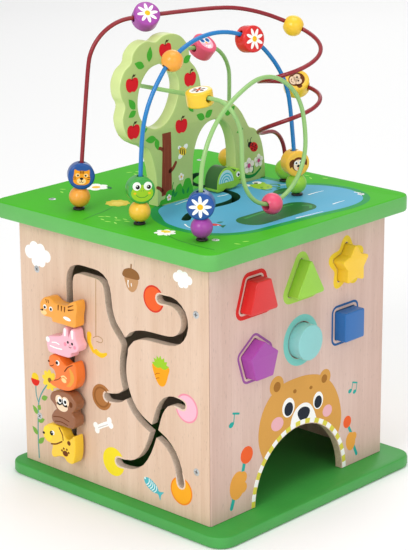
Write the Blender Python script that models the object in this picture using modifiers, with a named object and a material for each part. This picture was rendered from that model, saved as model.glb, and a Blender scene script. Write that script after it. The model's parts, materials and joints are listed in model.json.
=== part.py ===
"""Wooden baby activity cube.

A five-sided play cube: a bead maze with a tree and a sliding turtle on top, a groove maze with five
stacked animals on the front, a shape sorter over a cave on the right, turning gears on the back and a
play clock on the left. Sizes below are in millimetres. The origin is on the underside of the base,
on the centre line of the cube; the front faces -Y and the shape sorter faces +X.
"""

import math

import bmesh
import bpy
from mathutils import Matrix, Vector

MM = 0.001
GAP = 0.3

# Cube
BODY = 280.0
PANEL = 9.0
BASE_THICK = 13.0
BASE_X = (-153.0, 171.0)
BASE_Y = (-156.5, 161.0)
BASE_CORNER = 20.0
TOP_UNDER = 292.0
TOP_THICK = 18.0
TOP_SIZE = 320.0
TOP_CORNER = 15.0
PLATE_EDGE = 2.5
BODY_EDGE = 3.0
BATTEN = 28.0
DECK = TOP_UNDER + TOP_THICK

# Bead maze
ROD_RADIUS = 2.3
ROD_HOLE = 3.4
ROD_DEPTH = 9.0
COLLAR_RADIUS = 6.2
COLLAR_BORE = 3.0
COLLAR_HEIGHT = 2.2
BALL_RADIUS = 11.2
BALL_BORE = 4.0
BALL_WIDE_BORE = 4.8
DRUM_RADIUS = 14.2
DRUM_WIDTH = 16.5
DRUM_BORE = 4.0
DRUM_WIDE_BORE = 5.2
BALL_SEAT = 13.7
DRUM_SEAT = 36.6
DISH_GAP = 0.6

RED_FOOT = (-61.7, -123.7)
RED_END = (22.2, 109.7)
COIL_AXIS = (64.0, 67.5)
COIL_RADIUS = 33.0
COIL_START = 154.96
COIL_END = -529.0
COIL_HEIGHTS = ((155.7, 496.3), (43.2, 469.2), (-46.8, 449.5), (-136.8, 433.8), (-250.0, 424.1),
                (-316.8, 416.3), (-406.8, 400.7), (-496.8, 379.3), (-529.0, 374.0))
BLUE_FOOT = (26.4, -122.4)
BLUE_END = (71.5, 73.2)
GREEN_FOOT = (115.0, -122.5)
GREEN_END = (-60.0, 106.2)

# Tree board, standing across the deck
TREE_X = -13.5
TREE_THICK = 15.0
TENON = 8.0
TENON_FIT = 0.4

# Turtle and its slot in the deck
TURTLE_X = -4.5
TURTLE_THICK = 19.0
TURTLE_LANE = 33.0
SLOT_WIDTH = 9.6
PEG_RADIUS = 3.3
PEG_HEAD = 9.0
PEG_HEAD_THICK = 3.0
PEG_SINK = 7.0

# Front maze
MAZE_LANE = -61.5
ANIMAL_THICK = 14.0
ANIMAL_STAND_OFF = 2.8

# Shape sorter
BLOCK_LENGTH = 28.0
BLOCK_OUT = 14.0
BLOCK_FIT = 0.9
CAVE_RADIUS = 71.0

# Gears and clock
GEAR_PITCH = 42.0
GEAR_WAVE = 4.0
GEAR_TEETH = 12
GEAR_THICK = 11.0
GEAR_Z = 160.0
GEAR_SPACING = 86.2
SPIGOT_RADIUS = 5.0
SPIGOT_HOLE = 5.7
CLOCK_Z = 165.0
HAND_THICK = 4.0

parts = bpy.data.collections.new("activity_cube")
cutters = bpy.data.collections.new("cutters")


# ---------------------------------------------------------------- materials

def material(name, colour, roughness=0.45, metallic=0.0):
    made = bpy.data.materials.get(name)
    if made:
        return made
    made = bpy.data.materials.new(name)
    made.use_nodes = True
    shader = made.node_tree.nodes["Principled BSDF"]
    shader.inputs["Base Color"].default_value = (*colour, 1.0)
    shader.inputs["Roughness"].default_value = roughness
    shader.inputs["Metallic"].default_value = metallic
    made.diffuse_color = (*colour, 1.0)
    return made


def paint(name):
    return material(name, PAINTS[name])


PAINTS = {
    "wood": (0.76, 0.55, 0.40),
    "lawn_green": (0.08, 0.42, 0.04),
    "leaf_green": (0.42, 0.60, 0.17),
    "tree_green": (0.45, 0.61, 0.18),
    "wire_red": (0.30, 0.02, 0.03),
    "wire_blue": (0.03, 0.24, 0.52),
    "wire_green": (0.28, 0.48, 0.19),
    "black": (0.02, 0.02, 0.02),
    "orange": (0.90, 0.36, 0.04),
    "amber": (0.90, 0.50, 0.05),
    "yellow": (0.90, 0.60, 0.05),
    "lime": (0.35, 0.60, 0.05),
    "blue": (0.01, 0.12, 0.40),
    "sky": (0.04, 0.20, 0.50),
    "teal": (0.25, 0.60, 0.60),
    "purple": (0.35, 0.05, 0.35),
    "pink": (0.80, 0.10, 0.20),
    "blush": (0.85, 0.45, 0.55),
    "red": (0.75, 0.03, 0.03),
    "frog_green": (0.05, 0.35, 0.06),
    "pond_green": (0.03, 0.16, 0.06),
    "carrot": (0.85, 0.20, 0.02),
    "brown": (0.28, 0.10, 0.04),
}


# ------------------------------------------------------------------ outlines

def circle(cx, cy, radius, count=24):
    return [(cx + radius * math.cos(2 * math.pi * i / count), cy + radius * math.sin(2 * math.pi * i / count))
            for i in range(count)]


def rounded(corners, radius, steps=4):
    """A closed outline through the corners, each rounded to the radius."""
    outline = []
    for i, corner in enumerate(corners):
        here = Vector(corner)
        back = (Vector(corners[i - 1]) - here).normalized()
        ahead = (Vector(corners[(i + 1) % len(corners)]) - here).normalized()
        half = (math.pi - back.angle(ahead)) / 2
        centre = here + (back + ahead).normalized() * (radius / math.cos(half))
        first = here + back * (radius * math.tan(half)) - centre
        turn = 2 * half if (-back).x * ahead.y - (-back).y * ahead.x > 0 else -2 * half
        for k in range(steps + 1):
            spin = Matrix.Rotation(turn * k / steps, 2)
            outline.append(tuple(centre + spin @ first))
    return outline


def rectangle(x0, x1, y0, y1, radius=0.0, steps=4):
    corners = [(x0, y0), (x1, y0), (x1, y1), (x0, y1)]
    return rounded(corners, radius, steps) if radius else corners


def smooth(points, steps=3, closed=True):
    """Catmull-Rom curve through the points."""
    count = len(points)
    path = []
    for i in range(count if closed else count - 1):
        if closed:
            quad = [points[(i + k - 1) % count] for k in range(4)]
        else:
            quad = [points[min(max(i + k - 1, 0), count - 1)] for k in range(4)]
        p0, p1, p2, p3 = (Vector(p) for p in quad)
        for k in range(steps):
            t = k / steps
            path.append(0.5 * (2 * p1 + (p2 - p0) * t + (2 * p0 - 5 * p1 + 4 * p2 - p3) * t * t
                               + (3 * p1 - p0 - 3 * p2 + p3) * t ** 3))
    if not closed:
        path.append(Vector(points[-1]))
    return [tuple(p) for p in path]


def band(path, width, cap_steps=5):
    """The outline of a groove: a path given a width and two round ends."""
    points = [Vector(p) for p in path]
    sides = []
    for i in range(len(points)):
        along = (points[min(i + 1, len(points) - 1)] - points[max(i - 1, 0)]).normalized()
        sides.append(Vector((-along.y, along.x)) * (width / 2))
    outline = [p + s for p, s in zip(points, sides)]
    for k in range(1, cap_steps):
        outline.append(points[-1] + Matrix.Rotation(-math.pi * k / cap_steps, 2) @ sides[-1])
    outline += [p - s for p, s in zip(reversed(points), reversed(sides))]
    for k in range(1, cap_steps):
        outline.append(points[0] + Matrix.Rotation(-math.pi * k / cap_steps, 2) @ -sides[0])
    return [tuple(p) for p in outline]


# ------------------------------------------------------------------- solids

def add_object(name, data, look, home=parts):
    made = bpy.data.objects.new(name, data)
    home.objects.link(made)
    if look:
        if not data.materials:
            data.materials.append(look)
        made.material_slots[0].link = "OBJECT"
        made.material_slots[0].material = look
    return made


def mesh_from(builder):
    """A mesh made by a function that fills a bmesh."""
    mesh = bpy.data.meshes.new("solid")
    work = bmesh.new()
    builder(work)
    bmesh.ops.recalc_face_normals(work, faces=work.faces)
    work.to_mesh(mesh)
    work.free()
    return mesh


def mesh_of(source):
    """The evaluated mesh of an object, welded shut, in place of the object."""
    graph = bpy.context.evaluated_depsgraph_get()
    mesh = bpy.data.meshes.new_from_object(source.evaluated_get(graph))
    work = bmesh.new()
    work.from_mesh(mesh)
    bmesh.ops.remove_doubles(work, verts=work.verts, dist=0.00001)
    bmesh.ops.recalc_face_normals(work, faces=work.faces)
    work.to_mesh(mesh)
    work.free()
    mesh.materials.clear()
    bpy.data.objects.remove(source)
    return mesh


def slab_mesh(outlines, thick, edge=0.0, roundness=0):
    """A board cut to outlines in its own XY plane, centred on z = 0. Inner outlines are holes."""
    curve = bpy.data.curves.new("slab", "CURVE")
    curve.dimensions = "2D"
    curve.fill_mode = "BOTH"
    curve.extrude = (thick / 2 - edge) * MM
    curve.bevel_depth = edge * MM
    curve.bevel_resolution = roundness
    curve.offset = -edge * MM
    for outline in outlines:
        spline = curve.splines.new("POLY")
        spline.points.add(len(outline) - 1)
        for point, (x, y) in zip(spline.points, outline):
            point.co = (x * MM, y * MM, 0.0, 1.0)
        spline.use_cyclic_u = True
    source = add_object("slab_source", curve, None)
    bpy.context.view_layer.update()
    return mesh_of(source)


def box_mesh(size):
    return mesh_from(lambda work: bmesh.ops.create_cube(
        work, size=1.0, matrix=Matrix.Diagonal((*[s * MM for s in size], 1.0))))


def rod_mesh(radius, length, segments=16):
    """A cylinder along Z, centred."""
    return mesh_from(lambda work: bmesh.ops.create_cone(
        work, cap_ends=True, segments=segments, radius1=radius * MM, radius2=radius * MM,
        depth=length * MM))


def turned_mesh(profile, steps=20):
    """A turned solid about Z from a closed profile of (radius, height), run top to bottom outside."""
    mesh = bpy.data.meshes.new("profile")
    work = bmesh.new()
    verts = [work.verts.new((r * MM, 0.0, z * MM)) for r, z in profile]
    for i, vert in enumerate(verts):
        work.edges.new((vert, verts[(i + 1) % len(verts)]))
    work.to_mesh(mesh)
    work.free()
    source = add_object("turned_source", mesh, None)
    screw = source.modifiers.new("turn", "SCREW")
    screw.steps = steps
    screw.render_steps = steps
    screw.use_merge_vertices = True
    screw.merge_threshold = 0.00001
    bpy.context.view_layer.update()
    return mesh_of(source)


def boolean(target, mesh, matrix, operation="DIFFERENCE"):
    """A Boolean on the target with a hidden cutter made from the mesh."""
    cutter = add_object(target.name + "_cutter", mesh, None, cutters)
    cutter.matrix_world = matrix
    cutter.hide_render = True
    cutter.display_type = "WIRE"
    step = target.modifiers.new(operation.lower(), "BOOLEAN")
    step.operation = operation
    step.object = cutter
    return cutter


def soften(target, width, segments=1):
    step = target.modifiers.new("edges", "BEVEL")
    step.width = width * MM
    step.segments = segments
    step.limit_method = "ANGLE"
    return step


def shade(mesh, angle=35.0):
    mesh.shade_smooth()
    mesh.set_sharp_from_angle(angle=math.radians(angle))


def at(x, y, z):
    return Matrix.Translation(Vector((x, y, z)) * MM)


def frame_of(origin, x_axis, z_axis):
    """A placement from an origin in mm, its X axis, and the direction that its Z axis leans to."""
    x = Vector(x_axis).normalized()
    y = Vector(z_axis).cross(x).normalized()
    z = x.cross(y)
    turn = Matrix((x, y, z)).transposed().to_4x4()
    return Matrix.Translation(Vector(origin) * MM) @ turn


# How a board's own X, Y and Z run on each wall: X to the viewer's right, Y up, Z outwards.
FRONT = Matrix(((1, 0, 0, 0), (0, 0, -1, 0), (0, 1, 0, 0), (0, 0, 0, 1)))
RIGHT = Matrix(((0, 0, 1, 0), (1, 0, 0, 0), (0, 1, 0, 0), (0, 0, 0, 1)))
BACK = Matrix(((-1, 0, 0, 0), (0, 0, 1, 0), (0, 1, 0, 0), (0, 0, 0, 1)))
LEFT = Matrix(((0, 0, -1, 0), (-1, 0, 0, 0), (0, 1, 0, 0), (0, 0, 0, 1)))


# --------------------------------------------------------------------- cube

def build_plates():
    base = slab_mesh([rectangle(*BASE_X, *BASE_Y, BASE_CORNER, 5)], BASE_THICK, PLATE_EDGE, 1)
    shade(base)
    add_object("base_panel", base, paint("lawn_green")).matrix_world = at(0, 0, BASE_THICK / 2)

    half = TOP_SIZE / 2
    outlines = [rectangle(-half, half, -half, half, TOP_CORNER, 5)]
    outlines += [circle(x, y, ROD_HOLE, 10) for x, y in
                 (RED_FOOT, RED_END, BLUE_FOOT, BLUE_END, GREEN_FOOT, GREEN_END)]
    slot_in = TREE_THICK / 2 + TENON_FIT
    for y0, y1 in TREE_TENONS:
        outlines.append(rectangle(TREE_X - slot_in, TREE_X + slot_in, y0 - TENON_FIT, y1 + TENON_FIT))
    outlines.append(band(smooth(TURTLE_SLOT, 2, False), SLOT_WIDTH))
    top = slab_mesh(outlines, TOP_THICK, 0.0)
    plate = add_object("top_panel", top, paint("lawn_green"))
    plate.matrix_world = at(0, 0, TOP_UNDER + TOP_THICK / 2)
    shell = slab_mesh([rectangle(-half, half, -half, half, TOP_CORNER, 5)], TOP_THICK, PLATE_EDGE, 1)
    boolean(plate, shell, plate.matrix_world, "INTERSECT")


TREE_TENONS = ((-54.0, -14.0), (67.0, 102.0))
TURTLE_SLOT = [(50, -78), (40, -62), (35, -42), (35.5, -22), (37, -4), (34, 14), (24, 27), (10, 33),
               (-4, 33), (-18, 33), (-32, 33), (-46, 33), (-58, 40), (-68, 56), (-72, 70)]


def panel_profile(length):
    """A panel's plan outline: mitred ends, with the cube's rounded edge on the outside."""
    half = length / 2
    arc = []
    for k in range(4):
        turn = math.radians(45 * k / 3)
        arc.append((half - BODY_EDGE + BODY_EDGE * math.sin(turn), BODY_EDGE * math.cos(turn) - BODY_EDGE))
    right = [(x - GAP / 2, y) for x, y in arc] + [(half - PANEL - GAP / 2, -PANEL)]
    return right + [(-x, y) for x, y in reversed(right)]


def build_panel(name, wall, outlines, cuts=()):
    """A side panel: a board with its holes, mitred to its neighbours."""
    mesh = slab_mesh(outlines, PANEL)
    panel = add_object(name, mesh, paint("wood"))
    panel.matrix_world = wall @ at(0, 0, BODY / 2 - PANEL / 2)
    for cut in cuts:
        boolean(panel, slab_mesh([cut], PANEL * 3), panel.matrix_world)
    prism = slab_mesh([panel_profile(BODY)], TOP_UNDER * 1.2)
    stand = wall @ Matrix(((1, 0, 0, 0), (0, 0, 1, 0), (0, 1, 0, 0), (0, 0, 0, 1)))
    boolean(panel, prism, stand @ at(0, BODY / 2, 150), "INTERSECT")
    return panel


def wall_outline():
    return rectangle(-BODY / 2 + 0.02, BODY / 2 - 0.02, BASE_THICK + GAP, TOP_UNDER - GAP)


MAZE_MAIN = [(-61.5, 50), (-61.5, 70), (-61.5, 100), (-61.5, 140), (-61.5, 180), (-61.5, 215),
             (-61.5, 236), (-57, 247), (-46, 251), (-32, 251), (-18, 250.5), (-8, 245), (-4, 233),
             (-2, 217), (4, 202), (13, 192), (20, 182), (17.5, 168), (16.5, 153), (19, 139), (24, 126),
             (33, 113), (45, 104.5), (60, 98), (76, 91), (88, 80), (95, 66), (99, 50)]
MAZE_UPPER = [(20, 182), (30, 193.5), (44, 199), (60, 200.5), (77, 201), (91, 203), (101, 210),
              (106, 222), (103, 235), (93, 243), (82, 244.5), (72, 244)]
MAZE_STUB = [(22, 131), (12, 122.5), (1, 119.5), (-8, 118.5)]
MAZE_CROSS = [(102, 137), (91, 138.5), (78, 134), (69, 122), (64, 108), (59, 92), (52, 75), (41, 59),
              (26, 50.5), (8, 49)]


def slice_path(path, steps=2):
    return band(smooth(path, steps, False), SLOT_WIDTH)


def build_front():
    cuts = [slice_path(p) for p in (MAZE_MAIN, MAZE_UPPER, MAZE_STUB, MAZE_CROSS)]
    build_panel("maze_panel", FRONT, [wall_outline()], cuts)


def star(cx, cy, outer, inner):
    return [(cx + r * math.sin(math.pi * i / 5), cy + r * math.cos(math.pi * i / 5))
            for i in range(10) for r in [outer if i % 2 == 0 else inner]]


def polygon(cx, cy, radius, count):
    return [(cx + radius * math.sin(2 * math.pi * i / count), cy + radius * math.cos(2 * math.pi * i / count))
            for i in range(count)]


def grown(outline, cx, cy, amount):
    """The outline moved outwards from a centre by about the amount."""
    reach = sum(math.hypot(x - cx, y - cy) for x, y in outline) / len(outline)
    scale = 1 + amount / reach
    return [(cx + (x - cx) * scale, cy + (y - cy) * scale) for x, y in outline]


# Shape blocks: name, colour, centre on the panel, outline
SHAPES = [
    ("block_trapezoid", "red", (-73.0, 247.0),
     rounded([(-94.5, 231.5), (-51.5, 231.5), (-62.5, 265.0), (-83.5, 265.0)], 2.5, 2)),
    ("block_triangle", "lime", (0.0, 246.0), rounded([(-22.5, 231.5), (22.5, 231.5), (0.0, 271.0)], 2.5, 2)),
    ("block_star", "yellow", (73.0, 248.0), rounded(star(73.0, 248.0, 23.5, 14.0), 2.5, 2)),
    ("block_pentagon", "purple", (-72.0, 178.0), rounded(polygon(-72.0, 178.0, 22.0, 5), 2.0, 2)),
    ("block_circle", "teal", (0.0, 180.0), circle(0.0, 180.0, 19.2, 24)),
    ("block_square", "sky", (72.5, 181.0), rectangle(56.5, 88.5, 165.0, 197.0, 2.0, 2)),
]


def build_sorter():
    half = BODY / 2 - 0.02
    low = BASE_THICK + GAP
    start = math.asin(0.3 / CAVE_RADIUS)
    arch = [(CAVE_RADIUS * math.cos(start + (math.pi - 2 * start) * i / 24),
             BASE_THICK + CAVE_RADIUS * math.sin(start + (math.pi - 2 * start) * i / 24)) for i in range(25)]
    outline = [(half, low), (half, TOP_UNDER - GAP), (-half, TOP_UNDER - GAP), (-half, low)]
    outline += list(reversed(arch))
    holes = [grown(shape, *centre, BLOCK_FIT) for _, _, centre, shape in SHAPES]
    build_panel("sorter_panel", RIGHT, [outline] + holes)
    for name, colour, _, shape in SHAPES:
        mesh = slab_mesh([shape], BLOCK_LENGTH, 0.6)
        shade(mesh)
        block = add_object(name, mesh, paint(colour))
        block.matrix_world = RIGHT @ at(0, 0, BODY / 2 + BLOCK_OUT - BLOCK_LENGTH / 2)
        block["joint_axis"] = (1.0, 0.0, 0.0)


def build_battens():
    reach = BODY / 2 - PANEL - GAP - BATTEN / 2
    height = TOP_UNDER - BASE_THICK - 2 * GAP
    mesh = box_mesh((BATTEN, BATTEN, height))
    places = (("front_left", -1, -1), ("front_right", 1, -1), ("back_right", 1, 1), ("back_left", -1, 1))
    for name, sx, sy in places:
        batten = add_object("corner_batten_" + name, mesh, paint("wood"))
        batten.matrix_world = at(sx * reach, sy * reach, (BASE_THICK + TOP_UNDER) / 2)
        soften(batten, 1.5)


# ---------------------------------------------------------------- back, left

def spigot(target, wall, x, y, length, depth):
    """A round spigot on the back of a turning piece, joined to it."""
    mesh = rod_mesh(SPIGOT_RADIUS, length, 16)
    boolean(target, mesh, wall @ at(x, y, depth - length / 2), "UNION")


def build_gears():
    holes = [circle(side * GEAR_SPACING / 2, GEAR_Z, SPIGOT_HOLE, 20) for side in (-1, 1)]
    build_panel("gear_panel", BACK, [wall_outline()] + holes)
    front = BODY / 2 + 0.8
    for name, colour, side, phase in (("gear_red", "red", -1, 0.0), ("gear_yellow", "yellow", 1, math.pi)):
        outline = []
        for i in range(GEAR_TEETH * 6):
            turn = 2 * math.pi * i / (GEAR_TEETH * 6)
            radius = GEAR_PITCH + GEAR_WAVE * math.cos(GEAR_TEETH * turn + phase)
            outline.append((radius * math.cos(turn), radius * math.sin(turn)))
        mesh = slab_mesh([outline], GEAR_THICK)
        gear = add_object(name, mesh, paint(colour))
        place = BACK @ at(side * GEAR_SPACING / 2, GEAR_Z, front + GEAR_THICK / 2)
        gear.matrix_world = place
        spigot(gear, BACK, side * GEAR_SPACING / 2, GEAR_Z, PANEL + 8, front + 2)
        gear["joint_axis"] = (0.0, 1.0, 0.0)


def build_clock():
    build_panel("clock_panel", LEFT, [wall_outline(), circle(0, CLOCK_Z, SPIGOT_HOLE, 20)])
    low = BODY / 2 + 0.6
    hour = rounded([(-3.5, 4), (-4.5, 30), (0, 42), (4.5, 30), (3.5, 4)], 1.0, 2)
    hour_arc = [(11 * math.sin(math.radians(a)), 11 * math.cos(math.radians(a))) for a in range(25, 340, 20)]
    hand = slab_mesh([hour[2:-2] + hour_arc, circle(0, 0, SPIGOT_HOLE, 20)], HAND_THICK)
    turn = Matrix.Rotation(math.radians(-60), 4, "Z")
    made = add_object("hour_hand", hand, paint("red"))
    made.matrix_world = LEFT @ at(0, CLOCK_Z, low + HAND_THICK / 2) @ turn
    made["joint_axis"] = (1.0, 0.0, 0.0)
    minute = rounded([(-3, 4), (-4, 48), (0, 62), (4, 48), (3, 4)], 1.0, 2)
    minute_arc = [(10 * math.sin(math.radians(a)), 10 * math.cos(math.radians(a))) for a in range(25, 340, 20)]
    long_hand = slab_mesh([minute[2:-2] + minute_arc], HAND_THICK)
    made = add_object("minute_hand", long_hand, paint("sky"))
    high = low + HAND_THICK + 0.5
    made.matrix_world = LEFT @ at(0, CLOCK_Z, high + HAND_THICK / 2)
    spigot(made, LEFT, 0, CLOCK_Z, HAND_THICK + PANEL + 8, high + 1)
    made["joint_axis"] = (1.0, 0.0, 0.0)


# ------------------------------------------------------------- sliding pieces

def peg(name, wall, x, y, under, sink_to):
    """A peg behind a sliding piece: a shaft through the groove and a wide head behind the board."""
    profile = [(0.0, sink_to), (PEG_RADIUS, sink_to), (PEG_RADIUS, under), (PEG_HEAD, under),
               (PEG_HEAD, under - PEG_HEAD_THICK), (0.0, under - PEG_HEAD_THICK)]
    mesh = bpy.data.meshes.new("peg")
    work = bmesh.new()
    verts = [work.verts.new((r * MM, 0.0, z * MM)) for r, z in profile]
    for first, second in zip(verts, verts[1:]):
        work.edges.new((first, second))
    work.to_mesh(mesh)
    work.free()
    source = add_object("peg_source", mesh, None)
    screw = source.modifiers.new("turn", "SCREW")
    screw.steps = 12
    screw.render_steps = 12
    screw.use_merge_vertices = True
    screw.merge_threshold = 0.00001
    bpy.context.view_layer.update()
    turned = mesh_of(source)
    shade(turned)
    made = add_object(name, turned, paint("black"))
    made.matrix_world = wall @ at(x, y, 0)
    return made


# Animals on the front, bottom to top: name, colour, height of the peg, outline of the face (x, z)
ANIMALS = [
    ("dog", "yellow", 54.0,
     [(-92, 64), (-88, 70), (-80, 74), (-70, 74.5), (-63, 72), (-58, 64), (-52, 62.5), (-47, 66), (-43.5, 68),
      (-42, 60), (-43, 45), (-47, 36), (-55, 36), (-60, 40), (-68, 39), (-77, 36), (-80, 41), (-78, 50),
      (-87, 52), (-92, 57)]),
    ("monkey", "brown", 94.0,
     [(-79, 107), (-75, 112), (-67, 114.5), (-58, 116.2), (-49, 115.5), (-43, 111), (-39, 106), (-41, 99),
      (-45, 94), (-41, 89), (-41, 81), (-46, 76.4), (-60, 76), (-74, 76), (-78, 83), (-74, 90), (-70, 94),
      (-75, 99), (-79, 102)]),
    ("squirrel", "carrot", 134.0,
     [(-80, 145), (-79, 151), (-73, 154.5), (-65, 154), (-60, 150), (-53, 147), (-46, 150), (-41, 152),
      (-37.5, 145), (-37, 133), (-42, 123), (-52, 118.2), (-64, 117.4), (-75, 119), (-79, 122), (-72, 127),
      (-70, 133), (-73, 138), (-79, 140)]),
    ("rabbit", "blush", 168.0,
     [(-82, 165), (-82, 172), (-76, 175), (-66, 177), (-58, 180), (-56, 187), (-52.5, 190), (-49.5, 187),
      (-48, 180), (-45, 187), (-41.5, 190), (-38.5, 187), (-37, 179), (-33, 172), (-36, 165.5), (-44, 162),
      (-47, 157), (-56, 156), (-68, 156), (-79, 156.5)]),
    ("tiger", "orange", 203.0,
     [(-91, 203), (-90, 210), (-84, 216), (-76, 217.5), (-69, 214), (-60, 213), (-50, 214.5), (-43, 219),
      (-36, 221), (-34, 213), (-36, 203), (-36.5, 194), (-41, 191.6), (-56.8, 191.6), (-66.5, 191.4),
      (-72.3, 191.8), (-74, 195.2), (-83.8, 195.1), (-88.6, 197.5)]),
]


def build_animals():
    back = BODY / 2 + ANIMAL_STAND_OFF
    for name, colour, height, outline in ANIMALS:
        mesh = slab_mesh([smooth(outline, 2)], ANIMAL_THICK, 1.5)
        shade(mesh, 50)
        animal = add_object(name, mesh, paint(colour))
        animal.matrix_world = FRONT @ at(0, 0, back + ANIMAL_THICK / 2)
        hole = rod_mesh(PEG_RADIUS + GAP, 2 * (PEG_SINK + GAP), 12)
        boolean(animal, hole, FRONT @ at(MAZE_LANE, height, back))
        animal["joint_axis"] = (0.0, 0.0, 1.0)
        peg(name + "_peg", FRONT, MAZE_LANE, height, BODY / 2 - PANEL - 0.5, back + PEG_SINK)


TURTLE = [(19.5, 311.2), (28, 311.2), (32, 312.8), (40, 311.8), (47, 312.2), (53, 314.5), (57.5, 319),
          (58.3, 325), (56, 330.5), (51, 332.5), (46.5, 330), (43.5, 332.5), (37, 336.5), (29, 336.2),
          (22.5, 331.5), (19, 324.5), (18, 316)]


def build_turtle():
    mesh = slab_mesh([smooth(TURTLE, 2)], TURTLE_THICK, 1.2)
    shade(mesh, 50)
    turtle = add_object("turtle", mesh, paint("lime"))
    turtle.matrix_world = RIGHT @ at(0, 0, TURTLE_X)
    hole = rod_mesh(PEG_RADIUS + GAP, 2 * (PEG_SINK + GAP), 12)
    boolean(turtle, hole, at(TURTLE_X, TURTLE_LANE, DECK + 0.4))
    turtle["joint_axis"] = (1.0, 0.0, 0.0)
    peg("turtle_peg", Matrix(), TURTLE_X, TURTLE_LANE, TOP_UNDER - 0.6, DECK + PEG_SINK)


# ----------------------------------------------------------------------- tree

TREE_CROWN = [(-62, 330), (-65, 350), (-70, 366), (-76, 375.5), (-88, 381), (-100, 388), (-108, 399),
              (-111, 412), (-107.5, 425), (-113, 436), (-114, 449), (-108, 461), (-98, 468), (-95, 477),
              (-86, 485), (-74, 488), (-62, 485.5), (-52, 490), (-39, 491), (-26, 487.5), (-16, 479),
              (-11.5, 468), (-10.5, 459), (-2, 450), (4, 439), (6.5, 426), (7.5, 414)]
TREE_HILL = [(18, 411.5), (31, 410.5), (45, 407), (58, 401), (69, 391.5), (77, 380), (83, 371.5), (91, 368.5),
             (98, 362), (103.5, 351), (107, 337), (109, 322)]
TREE_ARCH = [(60, 335), (59, 352), (55.5, 367), (48, 379.5), (37, 387), (25, 389), (13, 386), (3, 377),
             (-4, 363), (-7, 347), (-7.5, 330)]


def build_tree():
    (trunk0, trunk1), (hill0, hill1) = TREE_TENONS
    low = DECK + GAP
    foot = DECK - TENON
    outline = [(-61, low)] + smooth(TREE_CROWN + TREE_HILL, 2, False)
    outline += [(109.5, low), (hill1, low), (hill1, foot), (hill0, foot), (hill0, low), (60, low)]
    outline += smooth(TREE_ARCH, 2, False)
    outline += [(-7.5, low), (trunk1, low), (trunk1, foot), (trunk0, foot), (trunk0, low)]
    hole = smooth([(-57, 461.5), (-71, 458), (-82, 447), (-88, 431), (-87, 414), (-78, 401), (-64, 394.5),
                   (-50, 397), (-38, 407), (-30, 422), (-28, 437), (-34, 451), (-45, 459)], 2)
    mesh = slab_mesh([outline, hole], TREE_THICK, 1.5)
    shade(mesh, 50)
    tree = add_object("tree", mesh, paint("tree_green"))
    tree.matrix_world = RIGHT @ at(0, 0, TREE_X)


# ------------------------------------------------------------------ bead maze

def bend_rod(corners):
    """The straight and arc pieces of a rod bent at each inner corner to its radius."""
    pieces = []
    start = Vector(corners[0][0])
    for i in range(1, len(corners) - 1):
        corner = Vector(corners[i][0])
        radius = corners[i][1]
        back = (Vector(corners[i - 1][0]) - corner).normalized()
        ahead = (Vector(corners[i + 1][0]) - corner).normalized()
        half = (math.pi - back.angle(ahead)) / 2
        first = corner + back * (radius * math.tan(half))
        centre = corner + (back + ahead).normalized() * (radius / math.cos(half))
        axis = (-back).cross(ahead).normalized()
        pieces.append(("line", start, first))
        pieces.append(("arc", centre, axis, first - centre, 2 * half))
        start = corner + ahead * (radius * math.tan(half))
    pieces.append(("line", start, Vector(corners[-1][0])))
    return pieces


def rod_points(pieces):
    """Points along the pieces: the ends of each straight, and arcs in steps of 15 degrees or less."""
    points = []
    for piece in pieces:
        if piece[0] == "line":
            found = [piece[1], piece[2]]
        elif piece[0] == "arc":
            _, centre, axis, reach, turn = piece
            steps = max(2, math.ceil(math.degrees(turn) / 15))
            found = [centre + Matrix.Rotation(turn * k / steps, 3, axis) @ reach for k in range(steps + 1)]
        else:
            found = piece[1]
        for point in found:
            if not points or (point - points[-1]).length > 0.05:
                points.append(point)
    return points


def upright(foot, heading, corners):
    """Corners given as (distance, height, radius) in the upright plane through a foot."""
    turn = math.radians(heading)
    return [((foot[0] + d * math.cos(turn), foot[1] + d * math.sin(turn), z), r) for d, z, r in corners]


def coil_height(angle):
    """Height of the coil at an angle, by a smooth curve through its table."""
    table = COIL_HEIGHTS
    i = 0
    while i < len(table) - 2 and angle < table[i + 1][0]:
        i += 1
    (a1, z1), (a2, z2) = table[i], table[i + 1]
    a0, z0 = table[i - 1] if i else (2 * a1 - a2, 2 * z1 - z2)
    a3, z3 = table[i + 2] if i + 2 < len(table) else (2 * a2 - a1, 2 * z2 - z1)
    t = (angle - a1) / (a2 - a1)
    slope1 = (z2 - z0) / (a2 - a0) * (a2 - a1)
    slope2 = (z3 - z1) / (a3 - a1) * (a2 - a1)
    return ((2 * t ** 3 - 3 * t * t + 1) * z1 + (t ** 3 - 2 * t * t + t) * slope1
            + (3 * t * t - 2 * t ** 3) * z2 + (t ** 3 - t * t) * slope2)


def coil_point(angle):
    turn = math.radians(angle)
    return Vector((COIL_AXIS[0] + COIL_RADIUS * math.cos(turn), COIL_AXIS[1] + COIL_RADIUS * math.sin(turn),
                   coil_height(angle)))


def red_rod():
    start = coil_point(COIL_START)
    arch = upright(RED_FOOT, COIL_START - 90, [
        (-0.6, DECK - ROD_DEPTH, 0), (17.6, 506.1, 52.8), (184.0, 514.0, 140)])
    arch.append((tuple(start), 0))
    steps = 46
    coil = [coil_point(COIL_START + (COIL_END - COIL_START) * k / steps) for k in range(steps + 1)]
    leave = [(tuple(coil[-1]), 0), ((*RED_END, 371.0), 38), ((*RED_END, DECK - ROD_DEPTH), 0)]
    return bend_rod(arch) + [("coil", coil)] + bend_rod(leave)


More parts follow.
